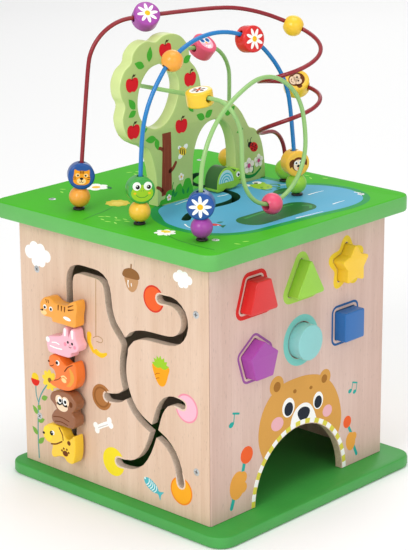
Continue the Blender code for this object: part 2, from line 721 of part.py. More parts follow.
def blue_rod():
    run = math.hypot(BLUE_END[0] - BLUE_FOOT[0], BLUE_END[1] - BLUE_FOOT[1])
    heading = math.degrees(math.atan2(BLUE_END[1] - BLUE_FOOT[1], BLUE_END[0] - BLUE_FOOT[0]))
    return bend_rod(upright(BLUE_FOOT, heading, [
        (0.2, DECK - ROD_DEPTH, 0), (5.3, 433.9, 121.0), (89.3, 532.3, 82.7), (187.9, 446.1, 100.4),
        (run + 0.2, DECK - ROD_DEPTH, 0)]))


def green_rod():
    x0, y0 = GREEN_FOOT
    x1, y1 = GREEN_END
    return bend_rod([
        ((x0, y0, DECK - ROD_DEPTH), 0), ((x0, -127.0, 421.2), 88.7), ((x0, -27.0, 468.9), 55.9),
        ((x0, 28.2, 432.4), 60.3), ((x0, 42.2, 332.1), 54.6), ((x0, -62.7, 323.2), 44.1),
        ((x0, -65.0, 438.9), 36.9), ((x1, -53.5, 433.8), 15), ((x1, -38.0, 461.0), 24),
        ((x1, y1 + 4.8, 454.0), 42), ((x1, y1 - 0.3, DECK - ROD_DEPTH), 0)])


def build_rod(name, look, pieces):
    points = rod_points(pieces)
    curve = bpy.data.curves.new(name, "CURVE")
    curve.dimensions = "3D"
    curve.bevel_depth = ROD_RADIUS * MM
    curve.bevel_resolution = 2
    curve.use_fill_caps = True
    spline = curve.splines.new("POLY")
    spline.points.add(len(points) - 1)
    for point, place in zip(spline.points, points):
        point.co = (*(place * MM), 1.0)
    add_object(name, curve, paint(look))


def ball_mesh(bore):
    flat = math.asin(bore / BALL_RADIUS)
    count = 6
    turns = [flat + (math.pi - 2 * flat) * k / count for k in range(count + 1)]
    mesh = turned_mesh([(BALL_RADIUS * math.sin(t), BALL_RADIUS * math.cos(t)) for t in turns], 16)
    shade(mesh)
    return mesh


def drum_mesh(bore):
    drum = add_object("drum_source", rod_mesh(DRUM_RADIUS, DRUM_WIDTH, 24), None)
    soften(drum, 1.8)
    lay = Matrix.Rotation(math.radians(90), 4, "Y")
    cutter = boolean(drum, rod_mesh(bore, 3 * DRUM_RADIUS, 12), lay)
    bpy.context.view_layer.update()
    mesh = mesh_of(drum)
    bpy.data.objects.remove(cutter)
    shade(mesh)
    return mesh


def leg(pieces, end):
    """Where a rod's leg leaves the deck, and the direction up the leg."""
    _, first, last = pieces[0] if end == "start" else pieces[-1]
    low, high = (first, last) if end == "start" else (last, first)
    up = (high - low).normalized()
    return low + up * ((DECK - low.z) / up.z), up


def facing(azimuth, rise=0.0):
    a, r = math.radians(azimuth), math.radians(rise)
    return Vector((math.cos(a) * math.cos(r), math.sin(a) * math.cos(r), math.sin(r)))


def add_ball(name, look, mesh, centre, along):
    bead = add_object(name, mesh, paint(look))
    side = Vector((1, 0, 0)) if abs(along.x) < 0.7 else Vector((0, 1, 0))
    x = (side - along * side.dot(along)).normalized()
    bead.matrix_world = frame_of(centre, x, along)
    bead["joint_axis"] = tuple(along)
    return bead


def add_drum(name, look, mesh, centre, along, face):
    bead = add_object(name, mesh, paint(look))
    bead.matrix_world = frame_of(centre, along, face)
    bead["joint_axis"] = tuple(along)
    return bead


def drop(amount):
    return Vector((0.0, 0.0, amount))


def on_arc(piece, share, inward):
    """Point and direction a share of the way round an arc, moved in towards its centre."""
    _, centre, axis, reach, turn = piece
    out = Matrix.Rotation(turn * share, 3, axis) @ reach
    return centre + out * (1 - inward / out.length), axis.cross(out).normalized(), centre, axis


def hang(bead, centre, axis):
    """Parents a bead on an arc to an empty on the arc's axis."""
    pivot = bpy.data.objects.new(bead.name + "_axis", None)
    parts.objects.link(pivot)
    pivot.location = centre * MM
    bpy.context.view_layer.update()
    placed = bead.matrix_world.copy()
    bead.parent = pivot
    bead.matrix_parent_inverse = pivot.matrix_world.inverted()
    bead.matrix_world = placed
    bead["joint_axis"] = tuple(axis)
    bead["joint_point"] = tuple(centre * MM)


def build_maze():
    red, blue, green = red_rod(), blue_rod(), green_rod()
    build_rod("wire_red", "wire_red", red)
    build_rod("wire_blue", "wire_blue", blue)
    build_rod("wire_green", "wire_green", green)

    collar = turned_mesh([(COLLAR_BORE, COLLAR_HEIGHT), (COLLAR_RADIUS, COLLAR_HEIGHT),
                          (COLLAR_RADIUS, 0.0), (COLLAR_BORE, 0.0)], 14)
    shade(collar)
    legs = {}
    for colour, rod in (("red", red), ("blue", blue), ("green", green)):
        for place, end in (("front", "start"), ("back", "end")):
            foot, up = leg(rod, end)
            legs[colour, place] = foot, up
            ring = add_object("collar_" + colour + "_" + place, collar, paint("black"))
            ring.matrix_world = at(foot.x, foot.y, DECK + GAP)

    ball = ball_mesh(BALL_BORE)
    loose_ball = ball_mesh(BALL_WIDE_BORE)
    drum = drum_mesh(DRUM_BORE)
    wide = drum_mesh(DRUM_WIDE_BORE)
    dish = mesh_from(lambda work: bmesh.ops.create_uvsphere(
        work, u_segments=20, v_segments=14, radius=(BALL_RADIUS + DISH_GAP) * MM))
    for name, look, which in (("ball_orange_foot", "orange", ("red", "front")),
                              ("ball_amber_foot", "amber", ("blue", "front")),
                              ("ball_purple_foot", "purple", ("green", "front")),
                              ("ball_lime_back", "lime", ("red", "back")),
                              ("ball_lime_foot", "lime", ("blue", "back")),
                              ("ball_yellow_back", "amber", ("green", "back"))):
        foot, up = legs[which]
        add_ball(name, look, ball, foot + up * BALL_SEAT, up)
    for name, look, which, azimuth, below in (
            ("drum_tiger", "blue", ("red", "front"), -38, "ball_orange_foot"),
            ("drum_frog", "frog_green", ("blue", "front"), -30, "ball_amber_foot"),
            ("drum_daisy_blue", "blue", ("green", "front"), -52, "ball_purple_foot"),
            ("drum_dog", "amber", ("blue", "back"), -22, "ball_lime_foot")):
        foot, up = legs[which]
        bead = add_drum(name, look, drum, foot + up * DRUM_SEAT, up, facing(azimuth))
        # The underside is dished, so that the drum sits down over the ball below it.
        boolean(bead, dish, bpy.data.objects[below].matrix_world)

    # Beads on straight stretches further up. They hang down by the play in their bores.
    _, first, last = red[2]
    along = (last - first).normalized()
    add_drum("drum_daisy_purple", "purple", drum, first + along * 14.4 - drop(1.2), along, facing(-25, 38))
    _, first, last = green[12]
    along = (last - first).normalized()
    add_drum("drum_yellow_top", "yellow", drum, first + along * 22.3 - drop(1.2), along, facing(-60, 78))
    _, first, last = green[16]
    along = (last - first).normalized()
    add_drum("drum_owl_pink", "pink", drum, last - along * 4 - drop(0.9), along, facing(3.5, 50))

    # Beads on bends
    point, along, centre, axis = on_arc(blue[3], 0.07, 1.6)
    hang(add_ball("ball_orange_arch", "orange", loose_ball, point, along), centre, axis)
    point, along, centre, axis = on_arc(blue[3], 0.87, 1.3)
    hang(add_drum("drum_daisy_red", "red", drum, point, along, facing(-7.5, 9)), centre, axis)
    point, along, centre, axis = on_arc(green[9], 0.03, -0.5)
    hang(add_ball("ball_pink_loop", "pink", loose_ball, point, along), centre, axis)

    for angle, is_ball in ((124.0, True), (-243.0, False)):
        here = coil_point(angle)
        along = (coil_point(angle - 1) - coil_point(angle + 1)).normalized()
        out = Vector((math.cos(math.radians(angle)), math.sin(math.radians(angle)), 0.0))
        axis = out.cross(along).normalized()
        slope = math.hypot(along.x, along.y)
        radius = COIL_RADIUS / slope ** 2
        centre = here - out * radius
        sag = (BALL_RADIUS if is_ball else DRUM_RADIUS) ** 2 / 2 / radius
        point = here - out * (sag / 2)
        if is_ball:
            bead = add_ball("ball_yellow_coil", "yellow", loose_ball, point - drop(1.2), along)
        else:
            bead = add_drum("drum_monkey", "yellow", wide, point, along, facing(-63, 48))
        hang(bead, centre, axis)


def main():
    for old in list(bpy.data.objects):
        bpy.data.objects.remove(old, do_unlink=True)
    bpy.context.scene.collection.children.link(parts)
    bpy.context.scene.collection.children.link(cutters)
    build_plates()
    build_front()
    build_sorter()
    build_gears()
    build_clock()
    build_battens()
    build_animals()
    build_tree()
    build_turtle()
    build_maze()


main()
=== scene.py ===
"""Wooden activity cube: fine pieces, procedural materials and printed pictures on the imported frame.

Lengths are in millimetres unless a name says otherwise. Pictures are drawn on flat picture planes:
x to the right, y up, and z out of the surface.
"""
import json
from math import asin, atan2, cos, hypot, pi, radians, sin, tan

import bmesh
import bpy
from mathutils import Matrix, Vector, geometry


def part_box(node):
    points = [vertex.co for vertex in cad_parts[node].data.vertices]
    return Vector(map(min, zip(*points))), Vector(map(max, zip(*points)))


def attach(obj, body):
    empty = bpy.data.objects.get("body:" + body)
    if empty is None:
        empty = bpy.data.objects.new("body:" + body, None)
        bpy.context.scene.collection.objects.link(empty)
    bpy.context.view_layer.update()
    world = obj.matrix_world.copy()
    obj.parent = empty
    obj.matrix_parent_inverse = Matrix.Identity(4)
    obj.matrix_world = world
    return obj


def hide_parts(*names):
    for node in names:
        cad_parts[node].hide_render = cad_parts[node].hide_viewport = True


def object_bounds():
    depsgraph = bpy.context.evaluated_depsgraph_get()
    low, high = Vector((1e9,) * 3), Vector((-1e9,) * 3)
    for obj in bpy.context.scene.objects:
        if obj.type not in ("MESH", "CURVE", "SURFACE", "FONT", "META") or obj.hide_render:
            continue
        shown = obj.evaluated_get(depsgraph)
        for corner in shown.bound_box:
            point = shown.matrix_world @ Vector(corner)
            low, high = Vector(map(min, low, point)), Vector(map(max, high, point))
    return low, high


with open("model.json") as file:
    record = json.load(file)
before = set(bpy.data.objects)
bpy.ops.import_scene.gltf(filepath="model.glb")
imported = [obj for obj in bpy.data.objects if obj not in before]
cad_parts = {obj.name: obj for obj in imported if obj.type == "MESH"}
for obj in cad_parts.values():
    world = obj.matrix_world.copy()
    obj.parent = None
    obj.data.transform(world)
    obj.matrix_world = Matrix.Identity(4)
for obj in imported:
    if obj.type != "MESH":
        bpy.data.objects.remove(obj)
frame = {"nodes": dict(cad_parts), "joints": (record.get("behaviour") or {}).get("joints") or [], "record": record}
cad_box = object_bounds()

MM = 0.001
WELD = 0.002 * MM      # points of a mesh nearer than this become one
FILM_TOP = 0.10        # a printed film's height over its plane
FILM_STEP = 0.05       # how much higher each next level of print lies
FILM_UNDER = 0.25      # how deep a film goes into the board
scene = bpy.context.scene
NODE_BODY = {node: body for body, nodes in frame["record"]["behaviour"]["bodies"].items() for node in nodes}
NODE_SLOT = {part["node"]: part["material_slot"] for part in frame["record"]["subparts"]}
JOINT_OF = {joint["child"]: joint for joint in frame["joints"]}


# ------------------------------------------------------------------ outlines

def polar(radius, degrees, cx=0.0, cy=0.0):
    return (cx + radius * cos(radians(degrees)), cy + radius * sin(radians(degrees)))


def circle(cx, cy, radius, count=32):
    return ellipse(cx, cy, radius, radius, 0, count)


def ellipse(cx, cy, rx, ry, turn=0.0, count=28):
    turns = [2 * pi * i / count for i in range(count)]
    return moved([(rx * cos(a), ry * sin(a)) for a in turns], cx, cy, turn)


def moved(outline, cx=0.0, cy=0.0, turn=0.0, scale=1.0):
    c, s = cos(radians(turn)) * scale, sin(radians(turn)) * scale
    return [(cx + c * x - s * y, cy + s * x + c * y) for x, y in outline]


def smooth(points, steps=5, closed=True):
    """Catmull-Rom curve through the points."""
    count = len(points)
    result = []
    for i in range(count if closed else count - 1):
        if closed:
            p = [points[(i + k - 1) % count] for k in range(4)]
        else:
            p = [points[min(max(i + k - 1, 0), count - 1)] for k in range(4)]
        for j in range(steps):
            t = j / steps
            result.append(tuple(0.5 * (2 * b + (c - a) * t + (2 * a - 5 * b + 4 * c - d) * t * t
                                       + (3 * b - a - 3 * c + d) * t ** 3) for a, b, c, d in zip(*p)))
    if not closed:
        result.append(tuple(points[-1]))
    return result


def band(path, width, taper=1.0):
    """Outline of a stroke along an open path, with round ends."""
    left, right = [], []
    last = len(path) - 1
    for i, (x, y) in enumerate(path):
        x0, y0 = path[max(i - 1, 0)]
        x1, y1 = path[min(i + 1, last)]
        length = hypot(x1 - x0, y1 - y0) or 1.0
        half = width / 2 * (1 + (taper - 1) * i / last)
        nx, ny = -(y1 - y0) / length * half, (x1 - x0) / length * half
        left.append((x + nx, y + ny))
        right.append((x - nx, y - ny))
    ends = []
    for end, a, b in ((last, left[-1], right[-1]), (0, right[0], left[0])):
        cx, cy = path[end]
        start = atan2(a[1] - cy, a[0] - cx)
        radius = hypot(a[0] - cx, a[1] - cy)
        ends.append([(cx + radius * cos(start - pi * k / 6), cy + radius * sin(start - pi * k / 6))
                     for k in range(1, 6)])
    return left + ends[0] + right[::-1] + ends[1]


def stroke(points, width, taper=1.0, steps=5):
    return band(smooth(points, steps, False), width, taper)


def leaf(cx, cy, length, width, turn=0.0):
    """Pointed leaf from its stalk end at (cx, cy)."""
    side = [(length * t, width / 2 * sin(pi * t ** 0.85)) for t in [i / 8 for i in range(9)]]
    return moved(side[1:] + [(x, -y) for x, y in side[-2::-1]], cx, cy, turn)


def petals(cx, cy, reach, width, count, turn, inner):
    """Rounded petals about a centre, as one outline each."""
    middle = reach * (1 + inner) / 2
    petal = ellipse(middle, 0, reach - middle, width / 2, 0, 14)
    return [moved(petal, cx, cy, turn + 360 * i / count) for i in range(count)]


def scalloped(cx, cy, radius, wave, count, steps=6):
    """A round outline with a wavy edge of so many waves."""
    waves = [radius + wave * cos(2 * pi * i / steps) for i in range(count * steps)]
    return [polar(reach, 360 * i / len(waves), cx, cy) for i, reach in enumerate(waves)]


def arc(cx, cy, radius, start, end, width, count=20):
    """A bow of constant width between two angles, square at its ends."""
    turns = [start + (end - start) * i / count for i in range(count + 1)]
    outer = [polar(radius + width / 2, turn, cx, cy) for turn in turns]
    return outer + [polar(radius - width / 2, turn, cx, cy) for turn in turns[::-1]]


def rounded(corners, radius, steps=5):
    """An outline through the corners, each rounded to the radius."""
    result = []
    count = len(corners)
    for i, point in enumerate(corners):
        here = Vector(point)
        before = (Vector(corners[i - 1]) - here).normalized()
        after = (Vector(corners[(i + 1) % count]) - here).normalized()
        half = before.angle(after) / 2
        reach = radius / tan(half)
        centre = here + (before + after).normalized() * (radius / sin(half))
        first, last = here + before * reach - centre, here + after * reach - centre
        start = atan2(first.y, first.x)
        sweep = (atan2(last.y, last.x) - start + pi) % (2 * pi) - pi
        result += [(centre.x + radius * cos(start + sweep * k / steps),
                    centre.y + radius * sin(start + sweep * k / steps)) for k in range(steps + 1)]
    return result


def grown(outline, amount):
    """The outline moved outwards, square to itself, by the amount."""
    area = sum(x0 * y1 - x1 * y0 for (x0, y0), (x1, y1) in zip(outline, outline[1:] + outline[:1]))
    sign = amount if area > 0 else -amount
    result = []
    count = len(outline)
    for i, (x, y) in enumerate(outline):
        ax, ay = outline[i - 1]
        bx, by = outline[(i + 1) % count]
        length = hypot(bx - ax, by - ay) or 1.0
        result.append((x + (by - ay) / length * sign, y - (bx - ax) / length * sign))
    return result


def mirrored(half):
    """A closed outline from its right half, given from top to bottom."""
    return half + [(-x, y) for x, y in half[-2:0:-1]]


def star(cx, cy, outer, inner, count=5):
    return [(cx + r * sin(pi * i / count), cy + r * cos(pi * i / count))
            for i, r in enumerate([outer, inner] * count)]


def polygon(cx, cy, radius, count):
    turns = [2 * pi * i / count for i in range(count)]
    return [(cx + radius * sin(a), cy + radius * cos(a)) for a in turns]


# -------------------------------------------------------------------- planes

def at(x, y, z):
    return Matrix.Translation(Vector((x, y, z)) * MM)


def frame_of(origin, x_axis, z_axis):
    """Placement with its X along x_axis and its Z as near z_axis as square corners allow."""
    x = Vector(x_axis).normalized()
    z = Vector(z_axis)
    z = (z - x * z.dot(x)).normalized()
    y = z.cross(x)
    placed = Matrix((x, y, z)).transposed().to_4x4()
    return Matrix.Translation(Vector(origin) * MM) @ placed


def face_plane(x_axis, z_axis, node, side):
    """Picture plane on a flat face of a node: side is 0 for its lowest and 1 for its highest face."""
    axis = max(range(3), key=lambda i: abs(z_axis[i]))
    origin = Vector((0, 0, 0))
    origin[axis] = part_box(node)[side][axis] / MM
    return frame_of(origin, x_axis, z_axis)


TOP = face_plane((1, 0, 0), (0, 0, 1), "top_panel", 1)
FRONT = face_plane((1, 0, 0), (0, -1, 0), "maze_panel", 0)
RIGHT = face_plane((0, 1, 0), (1, 0, 0), "sorter_panel", 1)
BACK = face_plane((-1, 0, 0), (0, 1, 0), "gear_panel", 1)
LEFT = face_plane((0, -1, 0), (-1, 0, 0), "clock_panel", 0)
TREE_FRONT = face_plane((0, 1, 0), (1, 0, 0), "tree", 1)
TREE_BACK = face_plane((0, -1, 0), (-1, 0, 0), "tree", 0)


# ----------------------------------------------------------------- materials

def linear(colour):
    """A colour given as 0 to 255 in sRGB, as linear light."""
    shares = [value / 255 for value in colour]
    return tuple(c / 12.92 if c <= 0.04045 else ((c + 0.055) / 1.055) ** 2.4 for c in shares)


class Nodes:
    """A material's node tree, with short ways to add the few nodes used here."""

    def __init__(self, name):
        self.made = bpy.data.materials.new(name)
        self.made.use_nodes = True
        self.tree = self.made.node_tree
        self.shader = self.tree.nodes["Principled BSDF"]
        self.place = self.add("ShaderNodeTexCoord").outputs["Object"]

    def add(self, kind, **settings):
        made = self.tree.nodes.new(kind)
        for key, value in settings.items():
            setattr(made, key, value)
        return made

    def put(self, socket, value):
        if isinstance(value, bpy.types.NodeSocket):
            self.tree.links.new(value, socket)
        else:
            socket.default_value = value

    def math(self, operation, a, b=0.0):
        made = self.add("ShaderNodeMath", operation=operation)
        self.put(made.inputs[0], a)
        self.put(made.inputs[1], b)
        return made.outputs[0]

    def vector(self, x, y, z):
        made = self.add("ShaderNodeCombineXYZ")
        for socket, value in zip(made.inputs, (x, y, z)):
            self.put(socket, value)
        return made.outputs[0]

    def split(self, vector):
        made = self.add("ShaderNodeSeparateXYZ")
        self.put(made.inputs[0], vector)
        return made.outputs

    def noise(self, vector, scale, detail=3.0, roughness=0.5):
        made = self.add("ShaderNodeTexNoise")
        self.put(made.inputs["Vector"], vector)
        made.inputs["Scale"].default_value = scale
        made.inputs["Detail"].default_value = detail
        made.inputs["Roughness"].default_value = roughness
        return made.outputs["Fac"]

    def ramp(self, value, low, high, to_low, to_high):
        made = self.add("ShaderNodeMapRange")
        for socket, number in zip(made.inputs[:5], (value, low, high, to_low, to_high)):
            self.put(socket, number)
        return made.outputs[0]

    def mix(self, share, a, b, blend="MIX"):
        made = self.add("ShaderNodeMix", data_type="RGBA", blend_type=blend)
        self.put(made.inputs["Factor"], share)
        sockets = [socket for socket in made.inputs if socket.type == "RGBA"]
        for socket, value in zip(sockets, (a, b)):
            self.put(socket, (*value, 1.0) if isinstance(value, tuple) else value)
        return [socket for socket in made.outputs if socket.type == "RGBA"][0]

    def bump(self, height, distance, strength=1.0):
        made = self.add("ShaderNodeBump")
        made.inputs["Strength"].default_value = strength
        made.inputs["Distance"].default_value = distance
        self.put(made.inputs["Height"], height)
        self.put(self.shader.inputs["Normal"], made.outputs[0])

    def finish(self, colour, roughness, coat=0.0, metallic=0.0, specular=0.5):
        self.put(self.shader.inputs["Base Color"], colour)
        self.put(self.shader.inputs["Roughness"], roughness)
        self.shader.inputs["Specular IOR Level"].default_value = specular
        self.shader.inputs["Coat Weight"].default_value = coat
        self.shader.inputs["Coat Roughness"].default_value = 0.12
        self.shader.inputs["Metallic"].default_value = metallic
        return self.made


STAVE_WIDTH = 46.0


def wood(name, light, dark):
    """Clear-lacquered beech board: glued vertical staves, long grain, fine fibres and short dark flecks."""
    n = Nodes(name)
    x, y, z = n.split(n.place)
    across = n.math("ADD", x, y)
    stave = n.math("FLOOR", n.math("DIVIDE", n.math("ADD", across, 0.013), STAVE_WIDTH * MM))
    white = n.add("ShaderNodeTexWhiteNoise", noise_dimensions="1D")
    n.put(white.inputs["W"], stave)
    tone = white.outputs["Value"]
    shift = n.math("MULTIPLY", tone, 3.0)
    grain = n.noise(n.vector(across, shift, n.math("MULTIPLY", z, 0.05)), 55, 5, 0.6)
    fibre = n.noise(n.vector(across, shift, n.math("MULTIPLY", z, 0.03)), 620, 3, 0.65)
    fleck = n.noise(n.vector(across, shift, n.math("MULTIPLY", z, 0.16)), 900, 1, 0.5)
    dark_fleck = n.ramp(fleck, 0.66, 0.78, 0.0, 0.35)
    cloud = n.noise(n.place, 9, 2)
    share = n.math("ADD", n.math("MULTIPLY", n.ramp(grain, 0.3, 0.7, 0.0, 1.0), 0.42),
                   n.math("MULTIPLY", n.ramp(fibre, 0.3, 0.7, 0.0, 1.0), 0.26))
    share = n.math("ADD", share, n.math("MULTIPLY", tone, 0.24))
    share = n.math("ADD", share, n.ramp(cloud, 0.3, 0.7, -0.1, 0.12))
    colour = n.mix(share, linear(light), linear(dark))
    colour = n.mix(dark_fleck, colour, linear([0.72 * c for c in dark]))
    n.bump(fibre, 0.00012, 0.5)
    return n.finish(colour, n.ramp(grain, 0.3, 0.7, 0.44, 0.54), 0.04, 0.0, 0.3)


def cut_edge(name, light, dark):
    """Bare fibreboard or ply where a groove or a hole is cut: short speckled fibres in thin layers."""
    n = Nodes(name)
    speck = n.noise(n.place, 420, 5, 0.7)
    layer = n.noise(n.place, 60, 2)
    colour = n.mix(n.ramp(n.math("ADD", speck, n.math("MULTIPLY", layer, 0.4)), 0.5, 0.95, 0.0, 1.0),
                   linear(light), linear(dark))
    n.bump(speck, 0.0002, 0.5)
    return n.finish(colour, n.ramp(speck, 0.3, 0.7, 0.6, 0.78))


def paint(name, colour, roughness=0.36, coat=0.25, grain=0.0, spread=0.05, peel=0.6, specular=0.5):
    """Sprayed paint: slightly cloudy colour, orange peel, and the grain of the wood below if it shows."""
    n = Nodes(name)
    cloud = n.noise(n.place, 22, 3)
    fine = n.noise(n.place, 480, 3, 0.6)
    tone = n.math("ADD", n.ramp(cloud, 0.3, 0.7, 1 - spread, 1 + spread),
                  n.ramp(fine, 0.3, 0.7, -0.015, 0.015))
    base = n.mix(1.0, linear(colour), n.vector(tone, tone, tone), "MULTIPLY")
    height = n.math("MULTIPLY", fine, peel)
    if grain:
        x, y, z = n.split(n.place)
        long_grain = n.noise(n.vector(n.math("MULTIPLY", x, 0.05), y, z), 420, 4, 0.6)
        height = n.math("ADD", height, n.math("MULTIPLY", long_grain, grain))
    n.bump(height, 0.00008, 0.6)
    return n.finish(base, n.ramp(cloud, 0.3, 0.7, roughness - 0.04, roughness + 0.05), coat, 0.0, specular)


def steel(name):
    n = Nodes(name)
    x, y, z = n.split(n.place)
    turned = n.noise(n.vector(n.math("MULTIPLY", x, 6.0), y, z), 800, 3)
    n.bump(turned, 0.00006, 0.5)
    tone = n.mix(n.ramp(turned, 0.3, 0.7, 0.0, 1.0), (0.45, 0.47, 0.48), (0.7, 0.72, 0.73))
    return n.finish(tone, n.ramp(turned, 0.3, 0.7, 0.24, 0.4), 0.0, 1.0)


WOOD = wood("beech_board", (233, 206, 184), (207, 171, 142))
# A darker, pinker copy of the beech board for the two side panels. Its darker tone is painted shade for the sides
# that get less light.
WOOD_WARM_SHADED = wood("beech_board_warm_shaded", (226, 198, 186), (200, 165, 150))
GROOVE = cut_edge("groove_cut", (232, 212, 194), (198, 174, 152))
BOARD_EDGE = cut_edge("board_edge", (214, 190, 164), (180, 152, 124))
STEEL = steel("screw_steel")
# Painted shade: the screws' cross recesses are flat dark films, not hollows, and this dark grey stands in for the
# shade inside them.
RECESS_SHADE = paint("screw_recess", (60, 60, 58), 0.5, 0.0)
LAWN = paint("lawn_paint", (76, 180, 44), 0.45, 0.0, 0.8, 0.04, 0.6, 0.02)
# The deck's rim faces are painted a paler, bluer green than its top. This is partly a paint of their own and
# partly painted light for the brighter lit rim.
LAWN_SIDE_LIT = paint("lawn_side_lit_paint", (100, 182, 92), 0.4, 0.05, 0.8, 0.05, 0.6, 0.3)
TREE_PAINT = paint("tree_paint", (181, 205, 122), 0.4, 0.15, 0.4)
TREE_SIDE = paint("tree_side_paint", (206, 222, 146), 0.42, 0.12, 0.8)
SLOT_LOOK = {
    "wire_red": paint("wire_red_paint", (142, 24, 36), 0.3, 0.3, 0, 0.04, 0.3, 0.35),
    "wire_blue": paint("wire_blue_paint", (24, 122, 190), 0.3, 0.3, 0, 0.04, 0.3, 0.35),
    "wire_green": paint("wire_green_paint", (148, 192, 116), 0.3, 0.3, 0, 0.04, 0.3, 0.35),
    "collar_black": paint("collar_rubber", (30, 26, 26), 0.5, 0.0, 0, 0.05, 1.0),
    "peg_black": paint("peg_plastic", (28, 28, 30), 0.42, 0.1, 0, 0.04, 0.6),
}
GLOSS = {
    "orange": (247, 166, 60), "amber": (250, 196, 62), "yellow": (250, 204, 50), "lime": (150, 206, 60),
    "blue": (14, 78, 154), "sky": (32, 104, 174), "purple": (164, 68, 164), "pink": (234, 84, 118),
    "red": (220, 38, 36), "frog_green": (60, 164, 64), "brown": (146, 92, 58), "carrot": (242, 120, 40),
    "blush": (246, 184, 198), "teal": (138, 204, 202), "hand_red": (220, 46, 44), "hand_blue": (44, 120, 192),
}
for slot_name, slot_colour in GLOSS.items():
    SLOT_LOOK[slot_name] = paint(slot_name + "_paint", slot_colour, 0.32, 0.25, 0.25, 0.05, 0.6, 0.35)

INKS = {
    "white": (250, 250, 246), "black": (34, 34, 36), "pond": (88, 170, 204), "pond_rim": (22, 148, 74),
    "pad": (34, 110, 54), "pad_light": (60, 150, 72), "frog": (160, 204, 50),
    "frog_dark": (70, 140, 60), "stem_dark": (52, 140, 44), "dash": (158, 222, 88), "gold": (246, 196, 44),
    "sun": (250, 220, 70), "olive": (228, 204, 62), "olive_light": (240, 218, 92), "flame": (238, 100, 50),
    "flame_rim": (214, 60, 44), "cloud": (252, 252, 250), "cap": (146, 100, 58), "nut": (196, 148, 104),
    "carrot": (248, 164, 34), "carrot_line": (196, 110, 24), "carrot_top": (156, 204, 50),
    "bone": (252, 252, 248), "bone_shade": (214, 206, 200), "fish": (84, 186, 196),
    "fish_light": (226, 244, 244), "stem": (96, 160, 156), "leaf": (124, 174, 74), "tulip": (222, 48, 36),
    "tulip_top": (244, 208, 50), "brown_disc": (176, 118, 66), "brown_ring": (150, 96, 50),
    "lemon": (244, 222, 48), "tangerine": (250, 172, 40), "tangerine_rim": (240, 140, 36),
    "rose": (248, 188, 206), "rose_rim": (240, 148, 168), "bear": (217, 160, 80), "bear_dark": (166, 112, 48),
    "cheek": (236, 180, 186), "ink_blue": (38, 44, 56), "rim_yellow": (222, 212, 80), "teal": (44, 168, 158),
    "line_red": (214, 50, 48), "line_lime": (172, 210, 90), "line_yellow": (242, 210, 62),
    "line_purple": (156, 92, 158), "line_teal": (128, 202, 192), "line_blue": (48, 98, 152),
    "apple": (222, 34, 44), "apple_dark": (176, 20, 34), "twig": (74, 70, 40), "foliage": (76, 176, 56),
    "trunk": (136, 66, 46), "trunk_light": (152, 80, 56), "grass": (66, 172, 52), "grass_dark": (36, 138, 66),
    "blossom": (253, 244, 236), "blossom_pink": (208, 84, 140), "bug_red": (214, 38, 40),
    "bee_yellow": (240, 206, 70), "shell": (190, 230, 232), "shell_line": (84, 190, 204),
    "turtle_dark": (62, 104, 56), "tiger": (246, 160, 40), "tiger_light": (255, 214, 150),
    "tiger_line": (120, 70, 26), "monkey_face": (246, 216, 184), "brown_ink": (112, 62, 32),
    "muzzle": (250, 224, 190), "dial": (250, 246, 236), "dial_blue": (120, 194, 224),
    "mid_orange": (232, 164, 72), "string": (186, 150, 112), "night": (60, 84, 150),
    "owl_blue": (60, 130, 190), "bare": (232, 205, 182),
}
INK_LOOK = {"recess": RECESS_SHADE}


def ink(name):
    """A printing ink's material, made when it is first used."""
    if name not in INK_LOOK:
        INK_LOOK[name] = paint("ink_" + name, INKS[name], 0.46, 0.0, 0, 0.025, 0.4, 0.06)
    return INK_LOOK[name]


# -------------------------------------------------------------------- solids

def keep(name, mesh, looks, body, place=None, sharp=38):
    """Adds a mesh as a piece of the object, riding on a body."""
    indices = [face.material_index for face in mesh.polygons]
    mesh.materials.clear()
    for look in looks:
        mesh.materials.append(look)
    mesh.polygons.foreach_set("material_index", indices)
    mesh.shade_smooth()
    mesh.set_sharp_from_angle(angle=radians(sharp))
    piece = bpy.data.objects.new(name, mesh)
    scene.collection.objects.link(piece)
    if place is not None:
        piece.matrix_world = place
    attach(piece, body)
    return piece


def stand_in(node, mesh, looks, place=None, sharp=38):
    """Adds a mesh as the fine piece for a CAD node, on that node's own body, and hides the node."""
    piece = keep(node + "_fine", mesh, looks, NODE_BODY[node], place, sharp)
    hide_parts(node)
    return piece


def plain(node):
    """The paint that a node's slot asks for, as a list of looks."""
    return [SLOT_LOOK[NODE_SLOT[node]]]


def mesh_from(work, name="fine"):
    bmesh.ops.recalc_face_normals(work, faces=work.faces)
    mesh = bpy.data.meshes.new(name)
    work.to_mesh(mesh)
    work.free()
    return mesh


def slab(outlines, thick, edge):
    """A flat board of any outline, with holes, centred on its own middle plane, with rounded edges."""
    curve = bpy.data.curves.new("outline", "CURVE")
    curve.dimensions = "2D"
    curve.fill_mode = "BOTH"
    curve.extrude = (thick / 2 - edge) * MM
    curve.bevel_depth = edge * MM
    curve.bevel_resolution = 3
    curve.offset = -edge * MM
    for outline in outlines:
        spline = curve.splines.new("POLY")
        spline.points.add(len(outline) - 1)
        for point, (x, y) in zip(spline.points, outline):
            point.co = (x * MM, y * MM, 0.0, 1.0)
        spline.use_cyclic_u = True
    source = bpy.data.objects.new("outline", curve)
    scene.collection.objects.link(source)
    bpy.context.view_layer.update()
    mesh = bpy.data.meshes.new_from_object(source.evaluated_get(bpy.context.evaluated_depsgraph_get()))
    bpy.data.objects.remove(source)
    bpy.data.curves.remove(curve)
    work = bmesh.new()
    work.from_mesh(mesh)
    bmesh.ops.remove_doubles(work, verts=work.verts, dist=WELD)
    bpy.data.meshes.remove(mesh)
    return mesh_from(work, "board")


